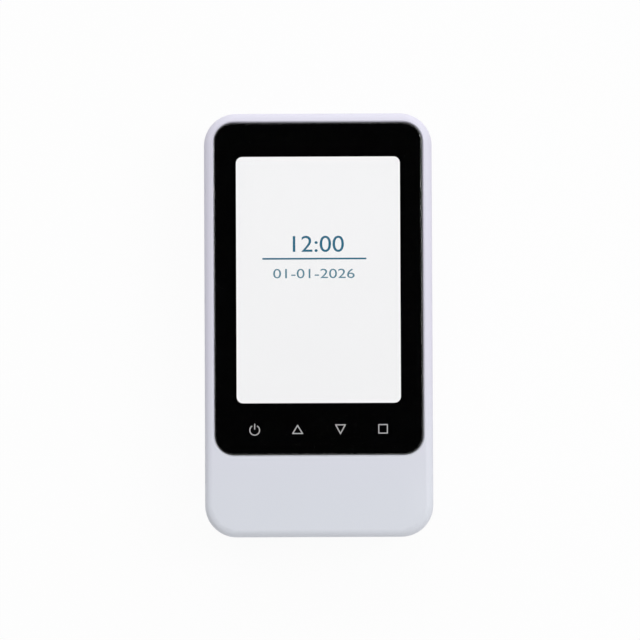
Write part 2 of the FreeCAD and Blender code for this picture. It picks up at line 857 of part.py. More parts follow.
def battery_contacts():
    """The spring blades that press on the pack."""
    y_low = well_low_y + 0.6
    y_pack = battery_y - battery_length / 2
    z_mid = (z_connector + z_well) / 2
    foot = y_low + contact_sheet
    profile = [(y_low, z_mid - 1.2), (foot, z_mid - 1.2), (y_pack - 0.05, z_mid), (foot, z_mid + 1.2),
               (y_low, z_mid + 1.2), (y_low, z_mid + 0.9), (y_pack - 0.4, z_mid), (y_low, z_mid - 0.9)]
    return [prism_x(profile, x - contact_width / 2, x + contact_width / 2) for x in contact_places]


def battery_lead():
    """The flat lead from the battery connector's tail, under the chassis and up to its socket on the
    board."""
    z_run = z_tail + connector_tail_height + lead_thickness / 2
    x_up = -chassis_half_width - battery_lead_run
    z_end = z_board - low_socket_height / 2
    return flat_lead([(connector_half(), z_run), (x_up, z_run), (x_up, z_end), (x_up - lead_run_in, z_end)],
                     lead_width, battery_lead_y, False)


def chassis():
    """The moulded tray frame: floor, rails with lips, motor bracket, head posts, screw ears."""
    floor = block(-chassis_half_width, chassis_half_width, rail_low_y, end_y - 5 * wall, z_chassis,
                  z_chassis_top)
    added = [motor_bracket()]
    for side in (-1, 1):
        added.append(side_block(side, rail_x, rail_x + rail_thickness, rail_low_y, rail_top_y, z_chassis,
                                z_lip_top))
        added.append(side_block(side, tray_half_width + run_gap, rail_x + 0.5, rail_low_y, rail_top_y, z_lip,
                                z_lip_top))
        added.append(side_block(side, rail_x, head_post_x, head_y - head_post_half, head_y + head_post_half,
                                z_chassis, z_chassis_top))
    added += [pillar(x, y, z_chassis, z_head, head_post_half) for x, y in head_posts]
    reach = chassis_boss_half
    for x, y in chassis_screws:
        added.append(side_block(math.copysign(1, x), chassis_half_width - 1, abs(x) + reach, y - reach,
                                y + reach,
                                z_chassis, z_chassis_top))
    frame = join(floor, *added)
    gear_room = gear_module * (small_teeth / 2 + addendum) + shelf_gap
    window_half = chassis_window_width / 2
    chassis_windows = [rail_low_y + (rail_top_y - rail_low_y) * (k + 0.5) / chassis_window_count
                       for k in range(chassis_window_count)]
    cuts = [many_sided(x, y, z_chassis - 1, z_chassis_top + 1, small_shank + pass_gap)
            for x, y in chassis_screws]
    cuts += [many_sided(x, y, z_head - chassis_screw_bite, z_head + 1, small_shank + thread_gap)
             for x, y in head_posts]
    cuts.append(post(gear_x, gear_y, z_chassis_top, z_shelf_top + 1, gear_room))
    cuts.append(post(gear_x, gear_y, z_chassis - 1, z_chassis_top + 1, gear_pin_radius))
    cuts += [block(-window_half, window_half, y - chassis_window_length / 2, y + chassis_window_length / 2,
                   z_chassis - 1, z_chassis_top + 1) for y in chassis_windows]
    return frame.cut(cuts)


def motor_bracket():
    """The walls and shelf that the stepper motor hangs from."""
    body = block(rail_x, side_x - wall - motor_gap, motor_y - bracket_length / 2, bracket_top_y, z_chassis,
                 z_shelf_top)
    cuts = [post(motor_x, motor_y, z_chassis - 1, z_shelf, motor_radius + motor_gap),
            ear_plate(motor_gap, z_chassis - 1, z_shelf),
            post(motor_x, motor_y, z_shelf - 1, z_shelf_top + 1, motor_boss_radius + run_gap)]
    cuts += [many_sided(motor_x, y, z_shelf - 1, z_shelf_top + 1, small_shank + thread_gap)
             for y in motor_ears]
    return body.cut(cuts)


def ear_plate(grow, low, high):
    """The outline of the motor's two ears, grown by a margin: a bar with chamfered ends."""
    half = motor_ear_half + grow
    end = motor_ear_spacing / 2 + half
    nose = end - half / 2
    corners = [(-half, -nose), (-half / 2, -end), (half / 2, -end), (half, -nose), (half, nose),
               (half / 2, end),
               (-half / 2, end), (-half, nose)]
    return prism_z([(motor_x + x, motor_y + y) for x, y in corners], low, high)


def drive_motor():
    """The stepper's can, with its mounting ears, its bearing boss and its terminal block."""
    z_low = z_shelf - motor_height
    can = post(motor_x, motor_y, z_low, z_shelf, motor_radius)
    ears = ear_plate(0.0, z_shelf - motor_ear_thickness, z_shelf)
    boss = post(motor_x, motor_y, z_shelf - 1, z_shelf + motor_boss_height, motor_boss_radius)
    terminal = block(motor_x - 3, motor_x + 3, motor_y, motor_y + motor_radius + motor_terminal, z_low + 1,
                     z_low + 4)
    holes = [many_sided(motor_x, y, z_shelf - 2, z_shelf + 1, small_shank + pass_gap) for y in motor_ears]
    holes.append(post(motor_x, motor_y, z_low + 1.5, z_shelf + 3, motor_shaft_radius + shaft_gap))
    return join(can, ears, boss, terminal).cut(holes)


def motor_screw_set():
    """The screws through the motor's ears, driven from below."""
    return [screw(motor_x, y, z_shelf - motor_ear_thickness, SMALL_SCREW,
                  motor_ear_thickness + shelf_thickness, True)
            for y in motor_ears]


def motor_lead():
    """The flat lead from the motor's terminal block up to its socket on the board."""
    y_start = motor_y + motor_radius + motor_terminal
    z_start = z_shelf - motor_height + motor_lead_level
    z_end = z_board - low_socket_height / 2
    y_up = bracket_top_y + lead_stand_off
    return flat_lead([(y_start, z_start), (y_up, z_start), (y_up, z_end), (y_up + lead_run_in, z_end)],
                     lead_width, motor_x, True)


def involute(angle):
    """The involute function."""
    return math.tan(angle) - angle


def gear_outline(teeth, centre_x, centre_y, tooth_at):
    """The outline of a spur gear with a tooth centred at the angle tooth_at. Each flank is an involute, and
    below the base circle it runs straight to the root."""
    pressure = math.radians(pressure_angle)
    pitch = gear_module * teeth / 2
    base = pitch * math.cos(pressure)
    tip = pitch + addendum * gear_module
    root = pitch - dedendum * gear_module
    thickness = math.pi * gear_module / 2 - backlash / 2
    half_at_base = thickness / (2 * pitch) + involute(pressure)
    first = max(base, root)
    radii = [first, (first + tip) / 2, tip]
    flank = [(r, half_at_base - involute(math.acos(base / r))) for r in radii]
    if first - root > thin_step:
        flank.insert(0, (root, flank[0][1]))
    points = []
    for k in range(teeth):
        middle = tooth_at + 2 * math.pi * k / teeth
        points += [(r, middle - half) for r, half in flank]
        points += [(r, middle + half) for r, half in reversed(flank)]
    return [(centre_x + r * math.cos(a), centre_y + r * math.sin(a)) for r, a in points]


def double_gear():
    """The reduction gear: small teeth in the rack, large teeth in the motor pinion, one hub. A small tooth
    points at the rack, and a large tooth points at the pinion."""
    small = prism_z(gear_outline(small_teeth, gear_x, gear_y, math.pi), z_small_gear, z_small_gear_top)
    large = prism_z(gear_outline(large_teeth, gear_x, gear_y, math.radians(motor_angle)), z_large_gear,
                    z_large_gear_top)
    hub = post(gear_x, gear_y, z_chassis_top + run_gap, z_large_gear_top + 0.4, gear_hub_radius)
    neck = post(gear_x, gear_y, z_small_gear, z_large_gear, gear_module * (small_teeth / 2 - dedendum))
    bore = post(gear_x, gear_y, z_chassis, z_large_gear_top + 2, gear_pin_radius + shaft_gap)
    return join(large, small, neck, hub).cut(bore)


def gear_pin():
    """The steel pin that the double gear turns on, pressed into the chassis, with its clip groove."""
    pin = post(gear_x, gear_y, z_chassis, z_clip + 3 * clip_thickness, gear_pin_radius)
    groove = tube(gear_x, gear_y, z_clip - shaft_gap, z_clip + clip_thickness + shaft_gap,
                  gear_pin_radius + 1,
                  0.7 * gear_pin_radius)
    return pin.cut(groove)


def gear_clip():
    """The E-clip that keeps the double gear on its pin."""
    disc = tube(gear_x, gear_y, z_clip, z_clip + clip_thickness, clip_radius,
                0.7 * gear_pin_radius + shaft_gap)
    mouth = block(gear_x - 0.55, gear_x + 0.55, gear_y, gear_y + clip_radius + 1, z_clip - 1, z_clip + 1)
    return disc.cut(mouth)


def motor_pinion():
    """The brass pinion on the motor's shaft. A space points at the double gear."""
    facing = math.radians(motor_angle + 180)
    z_low = z_large_gear + (large_gear_height - pinion_height) / 2
    wheel = prism_z(gear_outline(pinion_teeth, motor_x, motor_y, facing + math.pi / pinion_teeth), z_low,
                    z_low + pinion_height)
    return wheel.cut(post(motor_x, motor_y, z_shelf, z_large_gear_top + 2, motor_shaft_radius))


def motor_shaft():
    """The motor's steel shaft."""
    z_low = z_shelf - motor_height + 1.6
    return post(motor_x, motor_y, z_low, z_large_gear_top + pinion_height / 4, motor_shaft_radius)


def rack():
    """The straight teeth on the tray's right side. A space is centred at the double gear's axis."""
    pitch = math.pi * gear_module
    slope = math.tan(math.radians(pressure_angle))
    x_tip = rack_pitch_x + addendum * gear_module
    half = (math.pi * gear_module / 2 - backlash / 2) / 2
    half_tip = half - addendum * gear_module * slope
    half_root = half + dedendum * gear_module * slope
    count = math.ceil(tray_travel / pitch) + 6
    start = gear_y - 3 * pitch
    points = [(tray_half_width - 1, start), (tray_half_width, start)]
    for k in range(count):
        y = start + pitch * (k + 0.5)
        points += [(tray_half_width, y - half_root), (x_tip, y - half_tip), (x_tip, y + half_tip),
                   (tray_half_width, y + half_root)]
    points += [(tray_half_width, start + pitch * count), (tray_half_width - 1, start + pitch * count)]
    return prism_z(points, z_small_gear + joint_gap, z_small_gear_top - joint_gap)


def strip_tray():
    """The sliding tray: body with a pocket for the strip holder, side flanges, rack and sensor flag."""
    body = block(-tray_half_width, tray_half_width, tray_low_y, tray_top_y, z_tray, z_tray_top)
    reach = tray_half_width + flange_reach
    flanges = block(-reach, reach, tray_low_y + wall, tray_top_y, z_tray, z_flange_top)
    flag = block(-flag_thickness / 2, flag_thickness / 2, tray_top_y - 1, tray_top_y + flag_reach,
                 z_tray + flag_gap, z_tray_top - flag_gap)
    tray = join(body, flanges, flag, rack())
    pocket = rounded_slab(holder_width + 2 * holder_gap, holder_length + 2 * holder_gap,
                          holder_corner + holder_gap,
                          z_tray_top - holder_depth, z_tray_top + 1, y=tray_mid_y)
    relief = [side_block(side, tray_half_width - 1 - relief_width, tray_half_width - 1, tray_low_y + 2 * wall,
                         tray_top_y - 2 * wall, z_tray - 1, z_tray + relief_depth) for side in (-1, 1)]
    return tray.cut([pocket] + relief)


def strip_holder():
    """The lift-out liner of the tray, with the groove for the strip, a finger dip and the tile's seat."""
    plate = rounded_slab(holder_width, holder_length, holder_corner, z_tray_top - holder_depth, z_tray_top,
                         y=tray_mid_y)
    half = groove_width / 2
    y_tile = holder_high_y - reference_end - reference_length
    groove = block(-half, half, holder_low_y + 3 * holder_end, y_tile - 1.0, z_groove, z_tray_top + 1)
    seat = block(-half, half, y_tile, holder_high_y - reference_end, z_groove, z_tray_top + 1)
    dip = Part.makeCylinder(5.0, groove_width + 3, Vector(-half - 1.5, holder_low_y + 7 * holder_end,
                                                          z_tray_top + 3.4), Vector(1, 0, 0))
    return plate.cut([groove, seat, dip])


def white_reference():
    """The white calibration tile beyond the end of the strip."""
    half = groove_width / 2 - optic_gap
    y_high = holder_high_y - reference_end
    return block(-half, half, y_high - reference_length + optic_gap, y_high - optic_gap, z_groove,
                 z_tray_top - reference_sunk)


def tray_front():
    """The cap on the tray that closes the slot in the case."""
    cap = front_slot(0.0, -end_y, tray_low_y)
    return cap.makeChamfer(front_bevel, [e for e in cap.Edges if all(abs(v.Y + end_y) < 1e-6
                                                                     for v in e.Vertexes)])


def optical_head():
    """The black optical block: sloping shoulders with bores for the lamps, an upright bore for the sensor."""
    half = head_length / 2
    run = head_height - head_shoulder
    profile = [(-half, z_head), (half, z_head), (half, z_head + head_shoulder), (half - run, z_head_top),
               (-half + run, z_head_top), (-half, z_head + head_shoulder)]
    body = prism_x([(head_y + y, z) for y, z in profile], -head_width / 2, head_width / 2)
    ears = [side_block(side, head_width / 2 - 1, head_post_x + head_post_half, head_y - head_post_half,
                       head_y + head_post_half, z_head, z_head + head_ear) for side in (-1, 1)]
    cuts = [window_plate(optic_gap, z_head - 1),
            many_sided(0, head_y, z_head - 1, z_head_top + 1, sensor_radius + optic_gap)]
    cuts += [sloping_bar(x, side, 0.0, lamp_shoulder() + 10, optic_gap) for x, side in lamp_places()]
    cuts += [many_sided(x, y, z_head - 1, z_head + head_ear + 1, small_shank + pass_gap)
             for x, y in head_posts]
    return join(body, *ears).cut(cuts)


def lamp_places():
    """The x of each lamp, and the side (-1 low, 1 top) from which it looks at the strip."""
    return [(x, side) for x in (-lamp_spacing / 2, lamp_spacing / 2) for side in (-1, 1)]


def lamp_shoulder():
    """The distance from the strip to the sloping shoulder, along a lamp's axis."""
    return (head_length / 2 + z_head + head_shoulder - z_groove) / math.sqrt(2)


def sloping_bar(x, side, start, end, grow):
    """A bar of a lamp's section, grown by a margin, along the lamp's axis. It leans 45 degrees from the point
    on the strip that the lamp looks at, and runs between two distances from it."""
    half_width = lamp_width / 2 + grow
    half_depth = lamp_depth / 2 + grow
    bar = block(-half_width, half_width, -half_depth, half_depth, start, end)
    bar.rotate(Vector(0, 0, 0), Vector(1, 0, 0), -45 * side)
    bar.translate(Vector(x, head_y, z_groove))
    return bar


def lamps():
    """The four flat-faced light-emitting diodes. Each ends just above the glass, and its collar lies against
    the sloping shoulder."""
    seat = lamp_shoulder() + 0.02
    start = lamp_depth / 2 + math.sqrt(2) * (z_head + glass_thickness + optic_gap - z_groove)
    return [join(sloping_bar(x, side, start, seat, 0.0),
                 sloping_bar(x, side, seat, seat + lamp_collar_height, lamp_collar))
            for x, side in lamp_places()]


def optical_window():
    """The small glass that keeps splashes out of the optical block."""
    return window_plate(0.0, z_head)


def window_plate(grow, z_low):
    """The optical window's square, grown by a margin, from the level z_low to the top of the glass."""
    half = glass_size / 2 + grow
    return block(-half, half, head_y - half, head_y + half, z_low, z_head + glass_thickness)


def optical_board():
    """The small board on top of the optical block."""
    board = block(-optic_board_width / 2, optic_board_width / 2, head_y - optic_board_length / 2,
                  head_y + optic_board_length / 2, z_head_top, z_head_top + optic_board_thickness)
    half = lamp_width / 2 + 2 * lamp_collar
    reach = optic_board_length / 2 - lamp_depth
    notches = [block(x - half, x + half, *sorted((head_y + side * reach, head_y + side * optic_board_length)),
                     z_head_top - 1, z_head_top + 3) for x, side in lamp_places()]
    return board.cut(notches)


def light_sensor():
    """The photodiode under the optical board, looking down the upright bore."""
    return many_sided(0, head_y, z_head_top - sensor_height, z_head_top, sensor_radius)


def head_screw_set():
    """The screws through the optical block's ears."""
    return [screw(x, y, z_head + head_ear, SMALL_SCREW, head_ear + head_screw_bite, False)
            for x, y in head_posts]


def head_ribbon():
    """The lead from the top of the optical board up to its socket."""
    z_start = z_head_top + optic_board_thickness + lead_thickness / 2
    z_end = z_board - low_socket_height / 2
    y_start = head_y + optic_board_length / 2 - head_lead_hold
    y_up = y_start + head_lead_run
    y_in = y_up + head_lead_slope
    return flat_lead([(y_start, z_start), (y_up, z_start), (y_in, z_end), (y_in + lead_run_in, z_end)],
                     head_lead_width, 0.0, True)


def home_sensor():
    """The fork sensor that sees the tray's flag when the tray is in."""
    half = flag_thickness / 2 + flag_gap
    body = block(-half - fork_wall, half + fork_wall, sensor_low_y, sensor_low_y + fork_length,
                 z_chassis_top, z_tray_top + fork_proud)
    return body.cut(block(-half, half, sensor_low_y - 1, sensor_low_y + fork_mouth,
                          z_chassis_top + fork_floor, z_tray_top + 2 * fork_proud + 1))


def sensor_lead():
    """The flat lead from the fork sensor up to its socket on the board."""
    x_start = flag_thickness / 2 + flag_gap + fork_wall
    x_up = x_start + sensor_lead_run
    z_start = z_tray_top - sensor_lead_drop
    z_end = z_board - low_socket_height / 2
    return flat_lead([(x_start, z_start), (x_up, z_start), (x_up, z_end), (x_up + lead_run_in, z_end)],
                     sensor_lead_width, sensor_low_y + sensor_lead_inset, False)


def charging_socket():
    """The socket under the board's top edge: steel shell and its tongue."""
    y_high = end_y - socket_recess
    y_low = y_high - socket_depth
    shell = slab_y(socket_width, socket_height, socket_height / 2 - 0.01, y_low, y_high, z_socket)
    mouth = slab_y(socket_width - 2 * socket_shell, socket_height - 2 * socket_shell,
                   socket_height / 2 - socket_shell - 0.01, y_low + 1, y_high + 1, z_socket)
    half = socket_width / 2 - 4.5 * socket_shell
    tongue = block(-half, half, y_low + 0.5, y_high - 0.8, z_socket - tongue_thickness / 2,
                   z_socket + tongue_thickness / 2)
    return join(shell.cut(mouth), tongue)


def buzzer():
    """The round sounder under the board."""
    can = many_sided(buzzer_x, buzzer_y, z_board - buzzer_height, z_board, buzzer_radius, round_sides)
    return can.cut(many_sided(buzzer_x, buzzer_y, z_board - buzzer_height - 1, z_board - 1, buzzer_hole))


def board_parts():
    """The chips and coils under the board: processor, memory, driver, charger, coil and crystal."""
    sizes = [(0.0, processor_y, processor_side, processor_side, processor_height),
             (memory_x, memory_y, memory_width, memory_length, memory_height),
             (driver_x, driver_y, driver_side, driver_side, driver_height),
             (charger_x, charger_y, charger_width, charger_length, charger_height),
             (coil_x, coil_y, coil_side, coil_side, coil_height),
             (crystal_x, crystal_y, crystal_width, crystal_length, crystal_height)]
    return [block(x - w / 2, x + w / 2, board_y + y - l / 2, board_y + y + l / 2, z_board - h, z_board)
            for x, y, w, l, h in sizes]


def low_socket(x, y, lead_from, lead):
    """A socket under the board for a lead of the given width, which ends inside it at (x, y) and comes in
    from the side lead_from, one of "-x", "+x" and "-y"."""
    across = lead / 2 + low_socket_margin
    half = lead / 2 + joint_gap
    z_mid = z_board - low_socket_height / 2
    level = (z_mid - lead_thickness, z_mid + lead_thickness)
    mouth = -lead_inside
    inner = joint_gap
    if lead_from == "-y":
        body = block(x - across, x + across, y + mouth, y + mouth + low_socket_depth,
                     z_board - low_socket_height, z_board)
        return body.cut(block(x - half, x + half, y + mouth - 1, y + inner, *level))
    side = 1 if lead_from == "-x" else -1
    body = side_block(side, side * x + mouth, side * x + mouth + low_socket_depth, y - across, y + across,
                      z_board - low_socket_height, z_board)
    return body.cut(side_block(side, side * x + mouth - 1, side * x + inner, y - half, y + half, *level))


def board_sockets():
    """The lead sockets: display and key film on top of the board; head, motor, battery and sensor under
    it."""
    display_end = display_low_y - display_lead_run - display_lead_slope - display_lead_end
    socket_top = display_end + display_lead_inside
    half = ribbon_width / 2 + top_socket_margin
    top = block(-half, half, socket_top - top_socket_depth, socket_top, z_board_top,
                z_board_top + top_socket_height)
    z_slot = z_board_top + display_lead_level
    top = top.cut(block(-ribbon_width / 2 - joint_gap, ribbon_width / 2 + joint_gap,
                        socket_top - top_socket_mouth, socket_top + 1, z_slot - lead_thickness,
                        z_slot + lead_thickness))
    key_half = film_tail_width / 2 + key_socket_margin
    key = block(film_tail_x - key_half, film_tail_x + key_half, film_low_y - key_socket_depth, film_low_y,
                z_board_top, z_board_top + key_socket_height)
    head_lead_end = (head_y + optic_board_length / 2 - head_lead_hold + head_lead_run + head_lead_slope
                     + lead_run_in)
    sensor_lead_end = flag_thickness / 2 + flag_gap + fork_wall + sensor_lead_run + lead_run_in
    return [top, key, low_socket(0, head_lead_end, "-y", head_lead_width),
            low_socket(motor_x, bracket_top_y + lead_stand_off + lead_run_in, "-y", lead_width),
            low_socket(-chassis_half_width - battery_lead_run - lead_run_in, battery_lead_y, "+x",
                       lead_width),
            low_socket(sensor_lead_end, sensor_low_y + sensor_lead_inset, "-x", sensor_lead_width)]


NODES = {
    "front_housing": front_housing,
    "rear_housing": rear_housing,
    "battery_cover": battery_cover,
    "front_lens": front_lens,
    "lens_mask": lens_mask,
    "lens_tape": lens_tape,
    "display_gasket": display_gasket,
    "display_frame": display_frame,
    "display_cell": display_cell,
    "display_ribbon": display_ribbon,
    "touch_key_film": touch_key_film,
    "main_board": main_board,
    "board_parts": board_parts,
    "board_sockets": board_sockets,
    "board_screws": board_screw_set,
    "charging_socket": charging_socket,
    "buzzer": buzzer,
    "case_screws": case_screw_set,
    "rubber_feet": rubber_feet,
    "battery_pack": battery_pack,
    "battery_connector": battery_connector,
    "battery_contacts": battery_contacts,
    "battery_lead": battery_lead,
    "chassis": chassis,
    "chassis_screws": chassis_screw_set,
    "drive_motor": drive_motor,
    "motor_screws": motor_screw_set,
    "motor_lead": motor_lead,
    "motor_shaft": motor_shaft,
    "motor_pinion": motor_pinion,
    "double_gear": double_gear,
    "gear_pin": gear_pin,
    "gear_clip": gear_clip,
    "strip_tray": strip_tray,
    "strip_holder": strip_holder,
    "white_reference": white_reference,
    "tray_front": tray_front,
    "optical_head": optical_head,
    "optical_window": optical_window,
    "optical_board": optical_board,
    "light_sensor": light_sensor,
    "lamps": lamps,
    "head_screws": head_screw_set,
    "head_ribbon": head_ribbon,
    "home_sensor": home_sensor,
    "sensor_lead": sensor_lead,
}


def main():
    """Builds every node and writes its STEP file."""
    os.makedirs("parts", exist_ok=True)
    for name, make in NODES.items():
        made = make()
        shape = Part.makeCompound(made) if isinstance(made, list) else made
        shape.exportStep(f"parts/{name}.step")
        print(f"{name}: {len(shape.Solids)} solids, {shape.Volume:.1f} mm3, valid {shape.isValid()}")


main()
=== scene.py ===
import json
import math

import bmesh
import bpy
import numpy as np
from mathutils import Matrix, Vector


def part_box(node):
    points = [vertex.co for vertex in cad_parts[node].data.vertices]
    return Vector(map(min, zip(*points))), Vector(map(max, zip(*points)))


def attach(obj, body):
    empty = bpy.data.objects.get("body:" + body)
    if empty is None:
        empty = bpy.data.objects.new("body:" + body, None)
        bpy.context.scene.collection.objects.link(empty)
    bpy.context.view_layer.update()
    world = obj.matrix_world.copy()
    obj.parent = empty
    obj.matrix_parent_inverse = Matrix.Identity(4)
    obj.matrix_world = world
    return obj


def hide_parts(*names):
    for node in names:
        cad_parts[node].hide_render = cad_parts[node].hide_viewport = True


# A handheld urine analyzer on its back: +Y is its far end, with the charging socket, -Y its near
# end, with the strip tray, and +Z is out of its screen. Shapes are worked out in millimetres and
# become metres in the meshes. Materials, lamps and the camera are in metres.
MM = 0.001
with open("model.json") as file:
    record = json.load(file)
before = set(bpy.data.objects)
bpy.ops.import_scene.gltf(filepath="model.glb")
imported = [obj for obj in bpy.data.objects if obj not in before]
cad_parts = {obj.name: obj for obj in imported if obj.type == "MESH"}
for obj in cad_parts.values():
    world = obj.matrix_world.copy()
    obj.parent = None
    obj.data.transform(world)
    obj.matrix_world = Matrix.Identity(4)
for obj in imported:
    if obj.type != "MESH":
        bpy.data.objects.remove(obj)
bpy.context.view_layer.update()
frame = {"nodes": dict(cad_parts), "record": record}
nodes = frame["nodes"]


def extent(node):
    """A node's lowest and highest corner in millimetres."""
    return tuple(np.array(corner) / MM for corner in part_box(node))


# ---------------------------------------------------------------- surfaces


def outline(width, length, corner, x=0.0, y=0.0, steps=10):
    """Points round a rounded rectangle. Each corner is centre + corner * (cos t, sin t) over a
    quarter turn."""
    turn = np.arange(4)[:, None] * np.pi / 2 + np.linspace(0, np.pi / 2, steps + 1)
    centre_x = (width / 2 - corner) * np.array([1, -1, -1, 1])[:, None]
    centre_y = (length / 2 - corner) * np.array([1, 1, -1, -1])[:, None]
    points = np.stack([x + centre_x + corner * np.cos(turn),
                       y + centre_y + corner * np.sin(turn)], -1)
    return points.reshape(-1, 2)


def at_level(points, z):
    """Plan points raised to the level z."""
    return np.column_stack([points, np.full(len(points), float(z))])


def skin(rings, closed=False):
    """A surface through rings of equally many points. Face (i, j) joins points j and j + 1 of
    rings i and i + 1. A closed one joins its last ring to its first, and an open one has a flat
    cap on each end."""
    rings = np.asarray(rings, float)
    index = np.arange(rings.shape[0] * rings.shape[1]).reshape(rings.shape[:2])
    here = index if closed else index[:-1]
    after = np.roll(index, -1, 0) if closed else index[1:]
    faces = np.stack([here, np.roll(here, -1, 1), np.roll(after, -1, 1), after], -1)
    faces = faces.reshape(-1, 4).tolist()
    if not closed:
        faces += [index[0][::-1].tolist(), index[-1].tolist()]
    return rings.reshape(-1, 3), faces


def eased(low, high, low_round, high_round, steps=7):
    """Insets and levels up the side of a plate whose lower and upper edges are quarter circles:
    (r (1 - sin t), low + r (1 - cos t)), and then (r (1 - cos t), high - r (1 - sin t))."""
    t = np.linspace(0, np.pi / 2, steps + 1)
    lower = np.stack([low_round * (1 - np.sin(t)), low + low_round * (1 - np.cos(t))], -1)
    upper = np.stack([high_round * (1 - np.cos(t)), high - high_round * (1 - np.sin(t))], -1)
    return np.concatenate([lower, upper])


def eased_plate(size, low, high, low_round, high_round, x=0.0, y=0.0):
    """A rounded plate with eased edges: at each level its outline is taken in by the profile's
    inset, and so are its corners, down to a least radius."""
    width, length, corner = size
    least_corner = 0.05
    return skin([
        at_level(outline(width - 2 * inset, length - 2 * inset,
                         max(corner - inset, least_corner), x, y), z)
        for inset, z in eased(low, high, low_round, high_round)])


def turned(profile, x=0.0, y=0.0, sides=48):
    """A shape turned about an upright axis: point (r, z) of the profile goes to
    (r cos t, r sin t, z)."""
    t = np.linspace(0, 2 * np.pi, sides, endpoint=False)
    round_axis = np.column_stack([np.cos(t), np.sin(t)])
    return skin([at_level(r * round_axis + [x, y], z) for r, z in profile])


def ribbon(points, width, low, high, closed):
    """A flat stroke along plan points. Each side runs half the width off, along the mean of the
    two directions' normals, stretched by 1 / cos(half the turn)."""
    points = np.asarray(points, float)
    before, after = np.roll(points, 1, 0), np.roll(points, -1, 0)
    if not closed:
        before[0], after[-1] = 2 * points[0] - points[1], 2 * points[-1] - points[-2]
    into, out = points - before, after - points
    into /= np.linalg.norm(into, axis=1)[:, None]
    out /= np.linalg.norm(out, axis=1)[:, None]
    normal = np.column_stack([-(into + out)[:, 1], (into + out)[:, 0]])
    normal /= np.linalg.norm(normal, axis=1)[:, None]
    across = np.column_stack([-into[:, 1], into[:, 0]])
    reach = normal * (width / 2 / (normal * across).sum(1))[:, None]
    left, right = points + reach, points - reach
    rings = np.stack([at_level(left, low), at_level(left, high),
                      at_level(right, high), at_level(right, low)], 1)
    return skin(rings, closed)


def gather(shapes):
    """Several shapes as one list of points and one of faces."""
    points, faces, count = [], [], 0
    for some_points, some_faces in shapes:
        faces += [[count + i for i in face] for face in some_faces]
        points.append(some_points)
        count += len(some_points)
    return np.concatenate(points), faces


def screw(x, y, seat, way, shank, head, head_height, length, sides=32):
    """A pan-head screw, from its tip to its drive. Its shank goes up from the seat where way is 1,
    and down where it is -1. Its thread's radius is
    shank - depth * |2 frac(z / pitch + t / 2 pi) - 1|, and its head's top falls by a cross recess
    where |x| or |y| is under the slot's half width."""
    pitch, depth, rings_a_pitch, tip = 0.9 * shank, 0.22 * shank, 6, 0.35
    slot, arm, slope, recess, recess_fade, crown = 0.17 * head, 0.62 * head, 0.12, 0.6, 1.3, 0.03
    # The rounded side of the head, in shares of its radius and its height.
    flank = [(1.0, 0.0), (1.0, 0.35), (0.94, 0.7), (0.8, 0.93)]
    face_share, hub_share, face_rings = 0.72, 0.02, 16

    t = np.linspace(0, 2 * np.pi, sides, endpoint=False)
    z = np.linspace(0, length, int(rings_a_pitch * length / pitch) + 2)[::-1, None]
    wave = np.abs(2 * ((z / pitch + t / (2 * np.pi)) % 1.0) - 1)
    radius = (shank - depth * wave) * np.clip((length - z) / pitch, tip, 1.0)
    thread = np.stack([radius * np.cos(t), radius * np.sin(t), z + 0 * t], -1)

    rim = [np.column_stack([r * head * np.cos(t), r * head * np.sin(t),
                            np.full(sides, -h * head_height)]) for r, h in flank]

    r = head * np.linspace(face_share, hub_share, face_rings)[:, None]
    px, py = r * np.cos(t), r * np.sin(t)
    cross = np.maximum(np.clip((slot - np.abs(px)) / slope, 0, 1) * (np.abs(py) < arm),
                       np.clip((slot - np.abs(py)) / slope, 0, 1) * (np.abs(px) < arm))
    cut = recess * head_height * cross * np.clip(recess_fade - r / head, 0, 1)
    face = np.stack([px, py, cut - head_height * (1 - crown * r / head)], -1)

    points, faces = skin(list(thread) + rim + list(face))
    return points * [1, 1, way] + [x, y, seat], faces


# ---------------------------------------------------------------- pieces

# Points nearer than this, in metres, are one: in a worked-out shape, and in a CAD node's copy.
WELD, CAD_WELD = 1e-7, 1e-6


def finish_mesh(name, bm, body, slot, sharp, weigh):
    """A mesh object at the origin whose edges turn sharp past an angle in degrees. One that is
    weighed takes its normals more from its larger faces."""
    for edge in bm.edges:
        edge.smooth = len(edge.link_faces) == 2 and edge.calc_face_angle() < math.radians(sharp)
    for face in bm.faces:
        face.smooth = True
    mesh = bpy.data.meshes.new(name)
    bm.to_mesh(mesh)
    bm.free()
    piece = bpy.data.objects.new(name, mesh)
    bpy.context.scene.collection.objects.link(piece)
    mesh.materials.append(finishes[slot])
    if weigh:
        piece.modifiers.new("even", "WEIGHTED_NORMAL").keep_sharp = True
    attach(piece, body)
    return piece


def build(name, shape, body, slot, stands_for=(), sharp=35.0, weigh=True):
    """A piece from points in millimetres and faces, in place of the nodes that it stands for."""
    points, faces = shape
    mesh = bpy.data.meshes.new(name)
    mesh.from_pydata((np.asarray(points) * MM).tolist(), [], faces)
    bm = bmesh.new()
    bm.from_mesh(mesh)
    bpy.data.meshes.remove(mesh)
    bmesh.ops.remove_doubles(bm, verts=bm.verts, dist=WELD)
    bmesh.ops.recalc_face_normals(bm, faces=bm.faces)
    piece = finish_mesh(name, bm, body, slot, sharp, weigh)
    if stands_for:
        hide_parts(*stands_for)
    return piece


def smoothed(node, body, slot, sharp=32.0):
    """A copy of a node with its facets merged, shaded as the smooth surfaces they stand for."""
    bm = bmesh.new()
    bm.from_mesh(nodes[node].data)
    bmesh.ops.remove_doubles(bm, verts=bm.verts, dist=CAD_WELD)
    piece = finish_mesh(node + "_smooth", bm, body, slot, sharp, weigh=True)
    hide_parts(node)
    return piece


def mesh_points(mesh):
    """A mesh's vertices as an array with one row each."""
    points = np.empty(len(mesh.vertices) * 3)
    mesh.vertices.foreach_get("co", points)
    return points.reshape(-1, 3)


